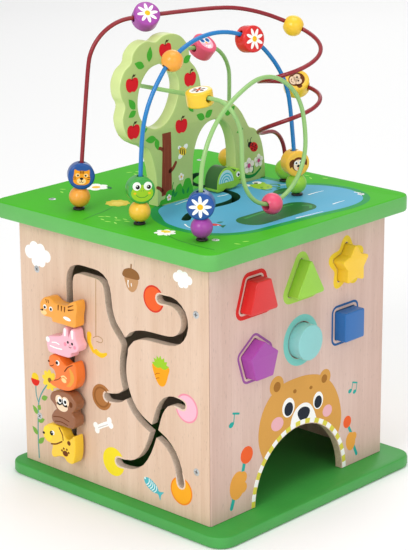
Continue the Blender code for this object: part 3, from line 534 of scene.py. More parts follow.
def lathe(profile, steps=40, closed=False):
    """A turned solid about its own Z from (radius, height) points."""
    work = bmesh.new()
    rings = []
    for radius, height in profile:
        ring = circle(0, 0, radius, steps) if radius > 1e-6 else [(0, 0)]
        rings.append([work.verts.new((x * MM, y * MM, height * MM)) for x, y in ring])
    pairs = list(zip(rings, rings[1:])) + ([(rings[-1], rings[0])] if closed else [])
    for low, high in pairs:
        for k in range(steps):
            n = (k + 1) % steps
            corners = [low[k % len(low)], low[n % len(low)], high[n % len(high)], high[k % len(high)]]
            unique = list(dict.fromkeys(corners))
            if len(unique) > 2:
                work.faces.new(unique)
    return mesh_from(work, "turned")


def cut(target, mesh, place, operation="DIFFERENCE"):
    """Applies a Boolean between an object and a mesh at a placement."""
    cutter = bpy.data.objects.new("cutter", mesh)
    scene.collection.objects.link(cutter)
    cutter.matrix_world = place
    modifier = target.modifiers.new("cut", "BOOLEAN")
    modifier.operation = operation
    modifier.solver = "EXACT"
    modifier.use_self = True
    modifier.object = cutter
    bpy.context.view_layer.update()
    result = bpy.data.meshes.new_from_object(target.evaluated_get(bpy.context.evaluated_depsgraph_get()))
    target.modifiers.remove(modifier)
    target.data = result
    bpy.data.objects.remove(cutter)


def plain_copy(node):
    """A node's own shape as clean flat faces in place of triangles."""
    work = bmesh.new()
    work.from_mesh(frame["nodes"][node].data)
    bmesh.ops.remove_doubles(work, verts=work.verts, dist=WELD)
    bmesh.ops.dissolve_limit(work, angle_limit=radians(0.6), verts=work.verts, edges=work.edges)
    return mesh_from(work, node + "_fine")


def refine(node, looks, bevel, chooser=None, segments=3):
    """Replaces a CAD node by the same shape with softened edges and fine shading."""
    mesh = plain_copy(node)
    if chooser:
        for face in mesh.polygons:
            face.material_index = chooser(face)
    piece = stand_in(node, mesh, looks, None, 30)
    modifier = piece.modifiers.new("soft_edges", "BEVEL")
    modifier.width = bevel * MM
    modifier.segments = segments
    modifier.limit_method = "ANGLE"
    modifier.angle_limit = radians(40)
    modifier.harden_normals = True


class Print:
    """Printed shapes on one picture plane. Each is a thin film that stands a little out of the surface."""

    def __init__(self, name, body, plane, slot=None, flip=False):
        self.name, self.body, self.plane, self.slot, self.flip = name, body, plane, slot, flip
        self.work = bmesh.new()
        self.inks = []

    def add(self, colour, *outlines, level=0, hole=None):
        """Prints filled outlines in an ink, over those of a lower level. The hole is left open in each."""
        if colour not in self.inks:
            self.inks.append(colour)
        index = self.inks.index(colour)
        top, low = FILM_TOP + FILM_STEP * level, -FILM_UNDER
        for outline in outlines:
            rings = [outline] + ([hole] if hole else [])
            if self.flip:
                rings = [[(-x, y) for x, y in ring][::-1] for ring in rings]
            flat = [point for ring in rings for point in ring]
            upper = [self.work.verts.new((x * MM, y * MM, top * MM)) for x, y in flat]
            under = [self.work.verts.new((x * MM, y * MM, low * MM)) for x, y in flat]
            for tri in geometry.tessellate_polygon([[Vector((x, y, 0)) for x, y in ring] for ring in rings]):
                a, b, c = (Vector(flat[i]) for i in tri)
                tri = tri if (b - a).cross(c - a) > 0 else tri[::-1]
                for verts in ([upper[i] for i in tri], [under[i] for i in tri[::-1]]):
                    self.work.faces.new(verts).material_index = index
            start = 0
            for ring in rings:
                count = len(ring)
                area = sum(x0 * y1 - x1 * y0 for (x0, y0), (x1, y1) in zip(ring, ring[1:] + ring[:1]))
                turn = (area > 0) == (ring is rings[0])
                for i in range(count):
                    a, b = start + i, start + (i + 1) % count
                    side = [upper[a], under[a], under[b], upper[b]]
                    self.work.faces.new(side if turn else side[::-1]).material_index = index
                start += count

    def finish(self, clip=None):
        """Makes the piece. With clip, the film ends where that node's flat face ends, as at a groove."""
        mesh = bpy.data.meshes.new(self.name)
        self.work.to_mesh(mesh)
        self.work.free()
        piece = keep(self.name, mesh, [ink(name) for name in self.inks], self.body, self.plane, 30)
        if clip:
            cut(piece, plain_copy(clip), Matrix.Translation(self.plane.to_3x3() @ Vector((0, 0, 0.001))),
                "INTERSECT")
        piece.data.shade_flat()


# -------------------------------------------------------------- cube and deck

RIM = 0.012            # metres: a face nearer to a board's edge than this belongs to its rim


def by_side(node, axis):
    """Chooses a board's face look: 0 on flat faces and ends, 1 where a groove or hole is cut through."""
    low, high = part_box(node)
    across = 1 - axis

    def choose(face):
        inside = (low[across] + RIM < face.center[across] < high[across] - RIM
                  and low[2] + 0.004 < face.center[2] < high[2] - 0.004)
        return 1 if inside and abs(face.normal[axis]) < 0.5 else 0
    return choose


refine("maze_panel", [WOOD, GROOVE], 0.5, by_side("maze_panel", 1), 2)
refine("sorter_panel", [WOOD_WARM_SHADED, BOARD_EDGE], 0.4, by_side("sorter_panel", 0), 2)
refine("gear_panel", [WOOD, BOARD_EDGE], 0.4, by_side("gear_panel", 1), 2)
refine("clock_panel", [WOOD_WARM_SHADED, BOARD_EDGE], 0.4, by_side("clock_panel", 0), 2)
for corner in ("front_left", "front_right", "back_right", "back_left"):
    refine("corner_batten_" + corner, [BOARD_EDGE], 0.6)


def plate_look(node):
    """Chooses a plate's face look: 0 on the flats, 1 round the rim, 2 inside the holes."""
    low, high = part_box(node)

    def choose(face):
        if abs(face.normal.z) > 0.5:
            return 0
        x, y = face.center.x, face.center.y
        rim = min(x - low.x, high.x - x, y - low.y, high.y - y)
        return 1 if rim < RIM else 2
    return choose


# Painted shade: the walls inside the slots and holes of the green plates are green, painted dark here for the
# shade that falls in them.
SLOT_SHADE_PAINT = paint("slot_shade_paint", (30, 84, 52), 0.5, 0.05, 0.5)
refine("top_panel", [LAWN, LAWN_SIDE_LIT, SLOT_SHADE_PAINT], 0.5, plate_look("top_panel"), 2)
BASE_PAINT = paint("base_paint", (64, 156, 66), 0.42, 0.0, 0.8, 0.05, 0.6, 0.2)
# The base plate's rim faces are painted a paler green than its top. This is partly a paint of their own and partly
# painted light for the brighter lit rim.
BASE_SIDE_LIT = paint("base_side_lit_paint", (74, 162, 78), 0.4, 0.05, 0.8, 0.05, 0.6, 0.3)
refine("base_panel", [BASE_PAINT, BASE_SIDE_LIT, SLOT_SHADE_PAINT], 0.5, plate_look("base_panel"), 2)


WIRE_SWELL = 0.22      # smoothing draws the rod in by this much, so its points first move out


def tube(node):
    """A wire as a smooth round rod along its CAD solid."""
    work = bmesh.new()
    work.from_mesh(frame["nodes"][node].data)
    bmesh.ops.remove_doubles(work, verts=work.verts, dist=WELD)
    bmesh.ops.join_triangles(work, faces=work.faces, angle_face_threshold=radians(60),
                             angle_shape_threshold=radians(70))
    bmesh.ops.recalc_face_normals(work, faces=work.faces)
    work.normal_update()
    for vert, normal in [(vert, vert.normal.copy()) for vert in work.verts]:
        vert.co += normal * WIRE_SWELL * MM
    piece = stand_in(node, mesh_from(work), [SLOT_LOOK[node]], None, 180)
    modifier = piece.modifiers.new("round", "SUBSURF")
    modifier.levels = modifier.render_levels = 2


for wire in ("wire_red", "wire_blue", "wire_green"):
    tube(wire)


def collar(node):
    """A rubber ring round the foot of a wire, rounded at the top."""
    low, high = (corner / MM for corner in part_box(node))
    centre, tall = (low + high) / 2, high.z - low.z
    outer = (high.x - low.x) / 2
    inner = 3.0
    profile = [(inner, tall), (outer - 1.0, tall), (outer - 0.35, tall - 0.3), (outer, tall - 1.0),
               (outer, 0.4), (outer - 0.4, 0.0), (inner, 0.0)]
    stand_in(node, lathe(profile, 32, True), [SLOT_LOOK["collar_black"]], at(centre.x, centre.y, low.z), 50)


for wire in ("red", "blue", "green"):
    collar("collar_" + wire + "_front")
    collar("collar_" + wire + "_back")

# Screws: (picture plane, x, y)
SCREWS = [(TOP, -113, -114), (TOP, 124, -113), (TOP, 120, 121), (TOP, -114, 118),
          (FRONT, -112, 238), (FRONT, 122, 238), (FRONT, -115, 69), (FRONT, 121, 69)]
SCREWS += [(plane, x, y) for plane in (BACK, LEFT) for y in (238, 69) for x in (-118, 118)]


def add_screws():
    """Countersunk screws, their heads just proud of the board. The cross recess is not cut: a flat dark cross is
    printed on each head as painted shade.
    """
    head = [(0.0, 0.34), (2.2, 0.34), (3.6, 0.26), (4.0, 0.05), (4.0, -0.4), (0.0, -0.4)]
    for number, (plane, x, y) in enumerate(SCREWS):
        place = plane @ at(x, y, 0)
        keep("screw_%02d" % number, lathe(head, 28), [STEEL], "cube", place, 30)
        turn = (number * 37) % 90
        # Painted shade: a dark cross film in place of the shadowed recess.
        bars = Print("screw_recess_%02d" % number, "cube", plane)
        bar = [(-2.3, -0.45), (2.3, -0.45), (2.3, 0.45), (-2.3, 0.45)]
        bars.add("recess", moved(bar, x, y, turn), moved(bar, x, y, turn + 90), level=5)
        bars.finish()


add_screws()


# --------------------------------------------------------------------- beads

BALL_RADIUS = 11.2
STRAIGHT_BORE = 3.9    # radius of the bore of a bead on a straight stretch of wire
BEND_BORE = 4.7        # and of a ball on a bend
DRUM_RADIUS = 14.2
DRUM_SLACK = 0.15      # how much smaller the drum is, so that its round edge stays in the CAD node's box
DRUM_HALF = 8.1        # half of a drum's width between its printed faces
DRUM_EDGE = 2.2
DISH_RADIUS = BALL_RADIUS + 0.5
# Drums with a dished underside, and the ball that each sits on
SEATED = {"drum_tiger": "ball_orange_foot", "drum_frog": "ball_amber_foot",
          "drum_daisy_blue": "ball_purple_foot", "drum_dog": "ball_lime_foot"}


def bead_place(node, face=(0.3, -0.9, 0.1)):
    """A bead's centre with its X along the wire and its Z towards its printed face."""
    low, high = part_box(node)
    centre = (low + high) / 2
    joint = JOINT_OF[node]
    along = Vector(joint["axis"])
    if joint["type"] == "hinge" and not joint.get("continuous"):
        along = along.cross(centre - Vector(joint["pos_m"]))
    if node in SEATED:
        centre.z = high.z - DRUM_RADIUS * MM * along.z
    return frame_of(centre / MM, along.normalized(), face)


def add_ball(node, bore):
    """A turned ball with a bore through it, whose rim is softened."""
    start = asin((bore + 0.5) / BALL_RADIUS)
    turns = [start + (pi - 2 * start) * i / 22 for i in range(23)]
    outside = [(BALL_RADIUS * sin(a), BALL_RADIUS * cos(a)) for a in turns]
    reach = BALL_RADIUS * cos(start)
    mesh = lathe(outside + [(bore, -reach + 0.4), (bore, reach - 0.4)], 40, True)
    mesh.transform(Matrix.Rotation(radians(90), 4, "Y"))
    stand_in(node, mesh, plain(node), bead_place(node), 40)


for ball in ("orange_foot", "amber_foot", "purple_foot", "lime_back", "lime_foot", "yellow_back"):
    add_ball("ball_" + ball, STRAIGHT_BORE)
for ball in ("orange_arch", "pink_loop", "yellow_coil"):
    add_ball("ball_" + ball, BEND_BORE)


def toward(azimuth, rise=0.0):
    """The direction at an azimuth and a rise in degrees."""
    a, r = radians(azimuth), radians(rise)
    return (cos(a) * cos(r), sin(a) * cos(r), sin(r))


# Drums: direction of the printed face, radius of the bore, turn of the picture. The bore is wider where
# the wire bends inside the drum.
DRUMS = {
    "drum_tiger": (toward(-38), STRAIGHT_BORE, 0), "drum_frog": (toward(-30), STRAIGHT_BORE, 0),
    "drum_daisy_blue": (toward(-52), 4.5, 0), "drum_dog": (toward(-22), STRAIGHT_BORE, 0),
    "drum_daisy_purple": (toward(-25, 38), STRAIGHT_BORE, 90),
    "drum_yellow_top": (toward(-60, 78), STRAIGHT_BORE, 0),
    "drum_owl_pink": (toward(3.5, 50), STRAIGHT_BORE, 90),
    "drum_daisy_red": (toward(-7.5, 9), STRAIGHT_BORE, 0), "drum_monkey": (toward(-63, 48), 5.1, 35),
}


def daisy(p):
    p.add("white", *petals(0, 0, 11.3, 3.6, 8, 90, 0.12))
    p.add("gold", circle(0, 0, 3.0, 24), level=1)
    p.add("flame", *[circle(1.6 * cos(a), 1.6 * sin(a), 0.35, 8) for a in (0.3, 1.6, 2.9, 4.2, 5.4)], level=2)


def tiger_face(p):
    half = [(0, 6.6), (4.2, 6.4), (7.8, 7.6), (8.2, 2.5), (9.0, -1.5), (8.0, -6.2), (4.0, -8.6), (0, -8.8)]
    head = smooth(mirrored(half), 4)
    p.add("tiger", head)
    p.add("tiger_light", ellipse(0, -4.6, 4.8, 3.4), ellipse(-4.4, 1.6, 2.3, 2.0),
          ellipse(4.4, 1.6, 2.3, 2.0), level=1)
    p.add("tiger_line", *[band([(x, 6.2), (x * 0.8, 3.8)], 0.9) for x in (-1.8, 0.0, 1.8)], level=2)
    p.add("tiger_line", *[band([(s * 8.6, y), (s * 6.2, y + 0.2)], 0.8) for s in (-1, 1)
                          for y in (-0.6, -2.6)], level=2)
    p.add("black", circle(-4.0, 1.4, 1.0, 14), circle(4.0, 1.4, 1.0, 14), ellipse(0, -2.0, 1.9, 1.3), level=2)
    p.add("black", stroke([(-2.0, -5.4), (-1.0, -6.0), (0, -5.0), (1.0, -6.0), (2.0, -5.4)], 0.5),
          band([(0, -3), (0, -5)], 0.5), level=2)


def frog_face(p):
    p.add("frog", ellipse(0, -2.4, 11.6, 8.8))
    for side in (-1, 1):
        p.add("white", circle(side * 5.8, 5.0, 4.4, 24), level=1)
        p.add("black", circle(side * 5.8 + 1.0, 4.0, 2.2, 18), level=2)
        p.add("white", circle(side * 5.8 + 0.3, 4.8, 0.6, 10), level=3)
    p.add("frog_dark", stroke([(-6.0, -4.4), (-2.6, -6.6), (2.6, -6.6), (6.0, -4.4)], 0.6),
          circle(-1.2, 0.2, 0.5, 10), circle(1.2, 0.2, 0.5, 10), level=1)
    p.add("gold", ellipse(-7.6, -2.4, 1.5, 1.1), ellipse(7.6, -2.4, 1.5, 1.1), level=1)


def dog_face(p):
    p.add("brown_ink", leaf(-5.5, 6.5, 10.5, 6.0, -115), leaf(5.5, 6.5, 10.5, 6.0, -65),
          circle(0, 0, 7.6, 28))
    p.add("muzzle", ellipse(0, -1.2, 5.6, 6.2), level=1)
    p.add("white", circle(-2.6, 1.8, 2.2, 18), circle(2.6, 1.8, 2.2, 18), level=2)
    p.add("black", circle(-2.3, 1.6, 1.1, 14), circle(2.9, 1.6, 1.1, 14), ellipse(0, -2.0, 1.9, 1.3), level=3)
    p.add("flame", ellipse(0, -5.2, 1.4, 1.7), level=2)


def monkey_face(p):
    p.add("brown_ink", circle(0, 0.6, 8.8, 30), circle(-9.0, 1.0, 2.8, 18), circle(9.0, 1.0, 2.8, 18))
    p.add("monkey_face", circle(-2.8, 1.6, 3.9, 22), circle(2.8, 1.6, 3.9, 22), ellipse(0, -3.4, 5.4, 3.8),
          level=1)
    p.add("black", circle(-2.5, 1.8, 1.1, 14), circle(2.5, 1.8, 1.1, 14), level=2)
    p.add("brown_ink", stroke([(-2.6, -4.0), (0, -5.6), (2.6, -4.0)], 0.6), circle(-0.8, -1.6, 0.4, 8),
          circle(0.8, -1.6, 0.4, 8), level=2)


def owl_face(p):
    p.add("rose", ellipse(0, 0, 8.8, 9.6))
    for side in (-1, 1):
        p.add("white", circle(side * 3.9, 2.6, 3.9, 24), level=1)
        p.add("owl_blue", circle(side * 3.9, 2.6, 2.9, 22), level=2)
        p.add("night", circle(side * 3.9, 2.6, 1.4, 14), level=3)
    p.add("gold", [(-1.4, 0.0), (0.0, -3.2), (1.4, 0.0)], level=2)
    p.add("white", *[ellipse(x, y, 1.5, 1.0) for x, y in ((-3, -5), (0, -5.6), (3, -5), (-1.5, -7.4),
                                                          (1.5, -7.4))], level=1)


def bird_face(p):
    p.add("white", circle(0, 0, 9.6, 30))
    p.add("brown_ink", *petals(0, 0, 7.6, 3.0, 6, 30, 0.3), level=1)
    p.add("flame", circle(0, 0, 2.4, 18), level=2)


PICTURES = {"drum_tiger": tiger_face, "drum_frog": frog_face, "drum_daisy_blue": daisy, "drum_dog": dog_face,
            "drum_daisy_purple": daisy, "drum_yellow_top": bird_face, "drum_owl_pink": owl_face,
            "drum_daisy_red": daisy, "drum_monkey": monkey_face}


def add_drums():
    """Turned drums with a picture on both faces, a bore across them for the wire, and a dish over a ball."""
    radius = DRUM_RADIUS - DRUM_SLACK
    rim = [(0.0, DRUM_HALF), (radius - DRUM_EDGE, DRUM_HALF)]
    rim += [(radius - DRUM_EDGE + DRUM_EDGE * sin(radians(a)), DRUM_HALF - DRUM_EDGE
             + DRUM_EDGE * cos(radians(a))) for a in (22, 45, 68, 90)]
    profile = rim + [(r, -z) for r, z in rim[::-1]]
    bow = [(DISH_RADIUS * sin(pi * k / 24), DISH_RADIUS * cos(pi * k / 24)) for k in range(25)]
    for name, (face, bore, turn) in DRUMS.items():
        place = bead_place(name, face)
        piece = stand_in(name, lathe(profile, 48), plain(name), place, 40)
        hole = lathe([(0.0, 20), (bore, 20), (bore, -20), (0.0, -20)], 28)
        cut(piece, hole, place @ Matrix.Rotation(radians(90), 4, "Y"))
        if name in SEATED:
            cut(piece, lathe(bow, 40), Matrix.Translation(bead_place(SEATED[name]).translation))
        piece.data.shade_smooth()
        piece.data.set_sharp_from_angle(angle=radians(32))
        for side, label in ((1, "front"), (-1, "back")):
            up = Matrix(((0, 1, 0, 0), (-side, 0, 0, 0), (0, 0, side, 0), (0, 0, 0, 1)))
            plane = place @ up @ at(0, 0, DRUM_HALF) @ Matrix.Rotation(radians(turn), 4, "Z")
            picture = Print(name + "_print_" + label, name, plane)
            PICTURES[name](picture)
            picture.finish()


add_drums()


# ------------------------------------------------------------ deck and tree

POND = smooth([(-6, -60), (4, -76), (24, -91), (42, -103), (64, -108), (88, -107), (108, -99), (122, -84),
               (131, -62), (134, -34), (137, 0), (141, 36), (145, 66), (144, 90), (136, 110), (120, 124),
               (100, 131), (80, 130), (62, 124), (46, 113), (30, 107), (8, 105), (-14, 104), (-24, 90),
               (-26, 60), (-24, 20), (-18, -20)], 5)


def print_deck():
    p = Print("print_deck", "cube", TOP, "lawn_green")
    p.add("pond_rim", grown(POND, 4.4))
    p.add("pond_rim", stroke([(-16, -34), (-2, -66), (18, -90), (44, -105), (72, -111)], 13.0, 0.35))
    p.add("pond", grown(POND, -3.2), level=1)
    # The long pad is partly painted shade: its dark green and lighter streaks copy a printed pad together with the
    # pink ball's shadow falling on it.
    pad = rounded([(86, -52), (122, -52), (122, 56), (86, 56)], 17.5, 8)
    p.add("pad", pad, level=2)
    p.add("pad_light", stroke([(93, -34), (91, 0), (93, 40)], 3.2, 0.6),
          stroke([(104, 44), (110, 49), (116, 42)], 3.0), level=3)
    p.add("pad", ellipse(49, 74, 8.0, 15.0, 12), ellipse(-14, 84, 7, 11, 0), level=2)
    p.add("pad_light", stroke([(47, 66), (49, 76), (53, 85)], 1.4, 0.5), level=3)
    # Ripples
    for points in ([(80, 82), (80, 94), (81, 105)], [(124, 70), (123.5, 79), (124, 88)],
                   [(110, 123), (117, 124), (124, 117)], [(-1, -14), (0, -30), (2, -44)],
                   [(12, 12), (14, 20), (13, 28)], [(131, 2), (133, 20), (135, 40)],
                   [(62, -92), (72, -97), (84, -96)], [(30, 92), (34, 98), (33, 103)]):
        p.add("white", stroke(points, 1.9, 0.3), level=2)
    # Frog on the pond
    p.add("frog", ellipse(19, 75, 13.5, 11.0, -18), circle(9, 84, 5.4, 20), circle(8, 70, 5.0, 20), level=3)
    p.add("frog_dark", stroke([(20, 88), (26, 93), (31, 90)], 2.6),
          stroke([(27, 66), (34, 66), (36, 71)], 2.6), stroke([(29, 82), (36, 84), (38, 79)], 2.6),
          circle(22, 71, 1.8, 12), circle(26, 77, 1.5, 12), level=4)
    p.add("white", circle(4.6, 83, 5.2, 22), circle(4.0, 66, 4.6, 22), level=4)
    p.add("black", circle(5.4, 80.4, 2.4, 16), circle(5.6, 64, 2.1, 16), level=5)
    # Small fish
    p.add("bug_red", moved(leaf(0, 0, 15, 8), 79, -76, 24), [(80, -76), (74, -80), (76, -72)], level=3)
    p.add("pad", [(92, -72), (100, -76), (95, -66)], leaf(82, -66, 8, 4, 70), leaf(86, -80, 7, 4, -50),
          level=3)
    p.add("white", circle(90, -72.5, 1.0, 10), level=4)
    # Flowers and grass round the pond
    p.add("white", *petals(-115, -48, 14.5, 11.5, 6, 15, 0.15))
    p.add("gold", circle(-114, -48, 4.8, 20), level=1)
    p.add("pad", leaf(-106, -37, 12, 5, -30))
    p.add("stem_dark", stroke([(-41, -95), (-36, -112), (-33, -130), (-29, -148)], 1.3))
    p.add("olive", scalloped(-49, -79, 12.6, 0.9, 9))
    p.add("olive_light", scalloped(-48, -80, 6.6, 0.6, 7), level=1)
    p.add("stem_dark", stroke([(76, -132), (96, -138), (122, -140), (146, -139)], 1.3))
    p.add("white", *petals(68, -127, 11.5, 7.0, 7, 20, 0.1))
    p.add("sun", ellipse(66, -124, 5.6, 3.8, 10), level=1)
    dashes = [(-22, -124, 10), (-12, -119, -30), (-4, -128, 35), (-18, -134, -12), (-8, -138, 20),
              (2, -134, -25), (6, -124, 15), (-26, -130, 40), (-1, -119, 0), (-132, 30, 20), (-126, 22, -15),
              (-136, 20, 50), (-120, 60, 10), (-142, 70, -30), (-128, 96, 15), (-90, 140, 0), (-78, 134, 30),
              (-60, 143, -20), (20, 144, 10), (32, 140, -30), (44, 147, 20), (-138, -80, 30),
              (-130, -86, -20), (148, -100, 60), (146, -110, 20), (-80, 60, 10), (-92, 40, 40),
              (-84, 20, -10)]
    p.add("dash", *[leaf(x, y, 7.5, 2.3, turn) for x, y, turn in dashes])
    p.finish("top_panel")


print_deck()


TREE_CROWN = [(-62, 330), (-65, 350), (-70, 366), (-76, 375.5), (-88, 381), (-100, 388), (-108, 399),
              (-111, 412), (-107.5, 425), (-113, 436), (-114, 449), (-108, 461), (-98, 468), (-95, 477),
              (-86, 485), (-74, 488), (-62, 485.5), (-52, 490), (-39, 491), (-26, 487.5), (-16, 479),
              (-11.5, 468), (-10.5, 459), (-2, 450), (4, 439), (6.5, 426), (7.5, 414)]
TREE_HILL = [(18, 411.5), (31, 410.5), (45, 407), (58, 401), (69, 391.5), (77, 380), (83, 371.5), (91, 368.5),
             (98, 362), (103.5, 351), (107, 337), (109, 322)]
TREE_ARCH = [(60, 335), (59, 352), (55.5, 367), (48, 379.5), (37, 387), (25, 389), (13, 386), (3, 377),
             (-4, 363), (-7, 347), (-7.5, 330)]
TREE_HOLE = [(-57, 461.5), (-71, 458), (-82, 447), (-88, 431), (-87, 414), (-78, 401), (-64, 394.5),
             (-50, 397), (-38, 407), (-30, 422), (-28, 437), (-34, 451), (-45, 459)]
TENONS = ((-54.0, -14.0), (67.0, 102.0))


def build_tree():
    """The tree board with a smooth outline, softly rounded edges and its two tenons down into the deck."""
    low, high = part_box("tree")
    thick, middle = (high.x - low.x) / MM, (high.x + low.x) / 2 / MM
    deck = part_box("top_panel")[1].z / MM + 0.3
    foot = low.z / MM
    (trunk0, trunk1), (hill0, hill1) = TENONS
    outline = [(-61, deck)] + smooth(TREE_CROWN + TREE_HILL, 5, False)
    outline += [(109.5, deck), (hill1, deck), (hill1, foot), (hill0, foot), (hill0, deck), (60, deck)]
    outline += smooth(TREE_ARCH, 5, False)
    outline += [(-7.5, deck), (trunk1, deck), (trunk1, foot), (trunk0, foot), (trunk0, deck)]
    mesh = slab([outline, smooth(TREE_HOLE, 5)], thick, 1.6)
    for face in mesh.polygons:
        face.material_index = 0 if abs(face.normal.z) > 0.7 else 1
    stand_in("tree", mesh, [TREE_PAINT, TREE_SIDE], frame_of((middle, 0, 0), (0, 1, 0), (1, 0, 0)), 50)


def apple(p, x, y):
    half = [(0, 5.6), (3.5, 7.2), (7.6, 5.8), (9.0, 1.0), (7.4, -4.6), (3.4, -7.6), (0, -6.8)]
    body = smooth(mirrored(half), 3)
    p.add("apple", moved(body, x, y), level=1)
    twig = stroke([(0.0, 5.6), (0.6, 8.0), (2.2, 10.2)], 1.0)
    p.add("twig", moved(twig, x, y), leaf(x + 1.2, y + 8.2, 4.6, 2.0, 25), level=2)
    p.add("apple_dark", moved(stroke([(-1.6, 5.4), (0.2, 4.6), (2.2, 5.4)], 0.6), x, y), level=2)


def blossom(p, x, y, reach, heart, level=2):
    p.add("blossom", *petals(x, y, reach, reach * 0.8, 5, 18, 0.12), level=level)
    p.add(heart, circle(x, y, reach * 0.3, 14), level=level + 1)


def print_tree(name, plane, flip):
    """Apples, leaves, trunk and a small meadow on one face of the tree. The back mirrors the front."""
    p = Print(name, "cube", plane, "tree_green", flip)
    trunk = smooth([(-56, 320), (-55, 345), (-54, 370), (-54, 387.5)], 4,
                   False) + smooth([(-41, 387.5), (-40.5, 370), (-40.5, 345), (-40.5, 322)], 4, False)
    p.add("trunk", trunk)
    p.add("trunk", stroke([(-52, 369), (-56, 372), (-60, 373)], 4.0, 0.8),
          stroke([(-43, 345), (-38, 348), (-34, 353)], 4.6, 0.8),
          stroke([(-53, 324), (-58, 329), (-62, 331)], 4.2, 0.8))
    p.add("trunk_light", *[band([(x, z0), (x + 0.6, z1)], 0.7) for x, z0, z1 in
                           ((-50, 330, 350), (-46, 345, 374), (-51, 356, 380), (-44, 326, 338))], level=1)
    for y, z in ((-97, 446), (-96, 397), (-48, 475), (-11, 439), (-25, 391)):
        apple(p, y, z)
    for y, z, length, width, turn in ((-79, 462, 15, 8, 158), (-72, 466, 16, 8, 82), (-93, 420, 15, 8, 128),
                                      (-92, 418, 12, 7, 205), (-63, 384, 16, 8, 178), (-63, 384, 13, 7, -80),
                                      (11, 393, 14, 8, 155), (12, 394, 13, 8, 30), (-21, 458, 13, 8, 28),
                                      (51, 391, 11, 7, 150), (50, 392, 11, 7, 40), (-14, 412, 12, 6, -50),
                                      (72, 372, 11, 6, 200), (-84, 394, 9, 5, 20)):
        p.add("foliage", leaf(y, z, length, width, turn), level=1)
    # Grass with bushes
    bush = [(-60, 311), (-57, 316), (-51, 317), (-49, 323), (-42, 325), (-37, 321), (-33, 327), (-27, 329),
            (-24, 325), (-20, 332), (-13, 332), (-10, 325), (-8.4, 322)]
    bush = smooth(bush, 4, False) + [(-8.4, 311)]
    p.add("grass", bush, level=1)
    p.add("grass_dark", leaf(-40, 317, 9, 4, 70), leaf(-38, 316, 8, 3.4, 40), leaf(-22, 316, 8, 3.4, 110),
          leaf(-18, 316, 8, 3.4, 60), level=2)
    p.add("stem_dark", stroke([(-39, 322), (-39.5, 328), (-38, 332)], 0.9), level=2)
    blossom(p, -26, 336, 4.2, "gold", 1)
    blossom(p, -45, 317, 3.6, "gold", 3)
    # Bee
    p.add("white", ellipse(-27, 358.5, 3.6, 2.6, 30), ellipse(-19, 367.5, 3.8, 2.6, 35),
          ellipse(-28, 368, 2.8, 2.0, -20), level=1)
    p.add("bee_yellow", ellipse(-23.5, 363.5, 5.8, 4.4, -25), level=2)
    p.add("black", *[band([(-23.5 + k - 1.4, 366.6 - k * 0.4), (-23.5 + k - 0.2, 360.4 - k * 0.4)], 1.1)
                     for k in (-3.0, 0.2, 3.2)], level=3)
    # Ladybird
    p.add("black", circle(83.2, 351.4, 3.4, 18), stroke([(81, 353), (79.5, 356), (80, 358)], 0.7),
          stroke([(84, 354), (84, 357.5), (86, 359)], 0.7), level=1)
    p.add("bug_red", ellipse(89.5, 347.8, 6.8, 5.2, -28), level=2)
    p.add("black", band([(84.2, 350.6), (95.0, 345.0)], 0.7),
          *[circle(y, z, 1.1, 10) for y, z in ((87.4, 351.2), (92.4, 348.9), (86.4, 346.4), (91.0, 344.6))],
          level=3)
    # Blossoms at the foot of the hill
    p.add("grass_dark", stroke([(72, 318.5), (82, 315.5), (92, 316.5), (101, 322)], 5.0, 0.4),
          leaf(88, 318, 14, 5, 98), level=1)
    blossom(p, 81.5, 328, 9.0, "blossom_pink", 2)
    blossom(p, 97.5, 331, 7.6, "blossom_pink", 2)
    p.finish()


build_tree()
print_tree("print_tree_front", TREE_FRONT, False)
print_tree("print_tree_back", TREE_BACK, True)


# ------------------------------------------------------------------- turtle

TURTLE = [(19.5, 311.2), (28, 311.2), (32, 312.8), (40, 311.8), (47, 312.2), (53, 314.5), (57.5, 319),
          (58.3, 325), (56, 330.5), (51, 332.5), (46.5, 330), (43.5, 332.5), (37, 336.5), (29, 336.2),
          (22.5, 331.5), (19, 324.5), (18, 316)]


TURTLE_BELLY, TURTLE_NECK = 314.5, 49.0     # its painted back is above the one and behind the other


def build_turtle():
    """A lime turtle whose back is painted dark, with a shell printed on both sides."""
    low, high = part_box("turtle")
    thick, middle = (high.x - low.x) / MM, (high.x + low.x) / 2 / MM
    mesh = slab([smooth(TURTLE, 5)], thick, 1.4)
    back_paint = paint("turtle_back_paint", INKS["turtle_dark"], 0.4, 0.0, 0.5, 0.05, 0.6, 0.1)
    for face in mesh.polygons:
        behind = face.center.y > TURTLE_BELLY * MM and face.center.x < TURTLE_NECK * MM
        face.material_index = 1 if behind and abs(face.normal.z) < 0.8 else 0
    stand_in("turtle", mesh, [SLOT_LOOK["lime"], back_paint], frame_of((middle, 0, 0), (0, 1, 0), (1, 0, 0)),
             50)
    for name, flip, plane in (("print_turtle_right", False, face_plane((0, 1, 0), (1, 0, 0), "turtle", 1)),
                              ("print_turtle_left", True, face_plane((0, -1, 0), (-1, 0, 0), "turtle", 0))):
        p = Print(name, "turtle", plane, "lime", flip)
        dome = [(32.5 + 11.6 * cos(radians(a)), 320.4 + 13.6 * sin(radians(a))) for a in range(0, 181, 9)]
        p.add("shell", dome)
        p.add("shell_line", *[arc(32.5, 320.6, reach, 0, 180, 1.5) for reach in (9.6, 6.4, 3.2)], level=1)
        p.add("white", circle(51.6, 326.0, 3.0, 20), level=1)
        p.add("black", circle(52.4, 325.4, 1.6, 16), level=2)
        p.add("frog_dark", stroke([(53.0, 319.6), (55.2, 319.4), (56.6, 320.6)], 0.6), level=1)
        p.finish()


build_turtle()


# ------------------------------------------------------------ groove maze face

def cloud(cx, cy, size):
    """The circles that make up a cloud."""
    lobes = ((-12.5, 1.5, 7.5), (-5, 7, 7.5), (5, 6.5, 7.0), (13.5, 1.0, 6.8), (-3, -7, 6.8), (5.5, -6, 6.5),
             (0, 0, 9.0))
    return [circle(cx + size * x, cy + size * y, size * r, 28) for x, y, r in lobes]


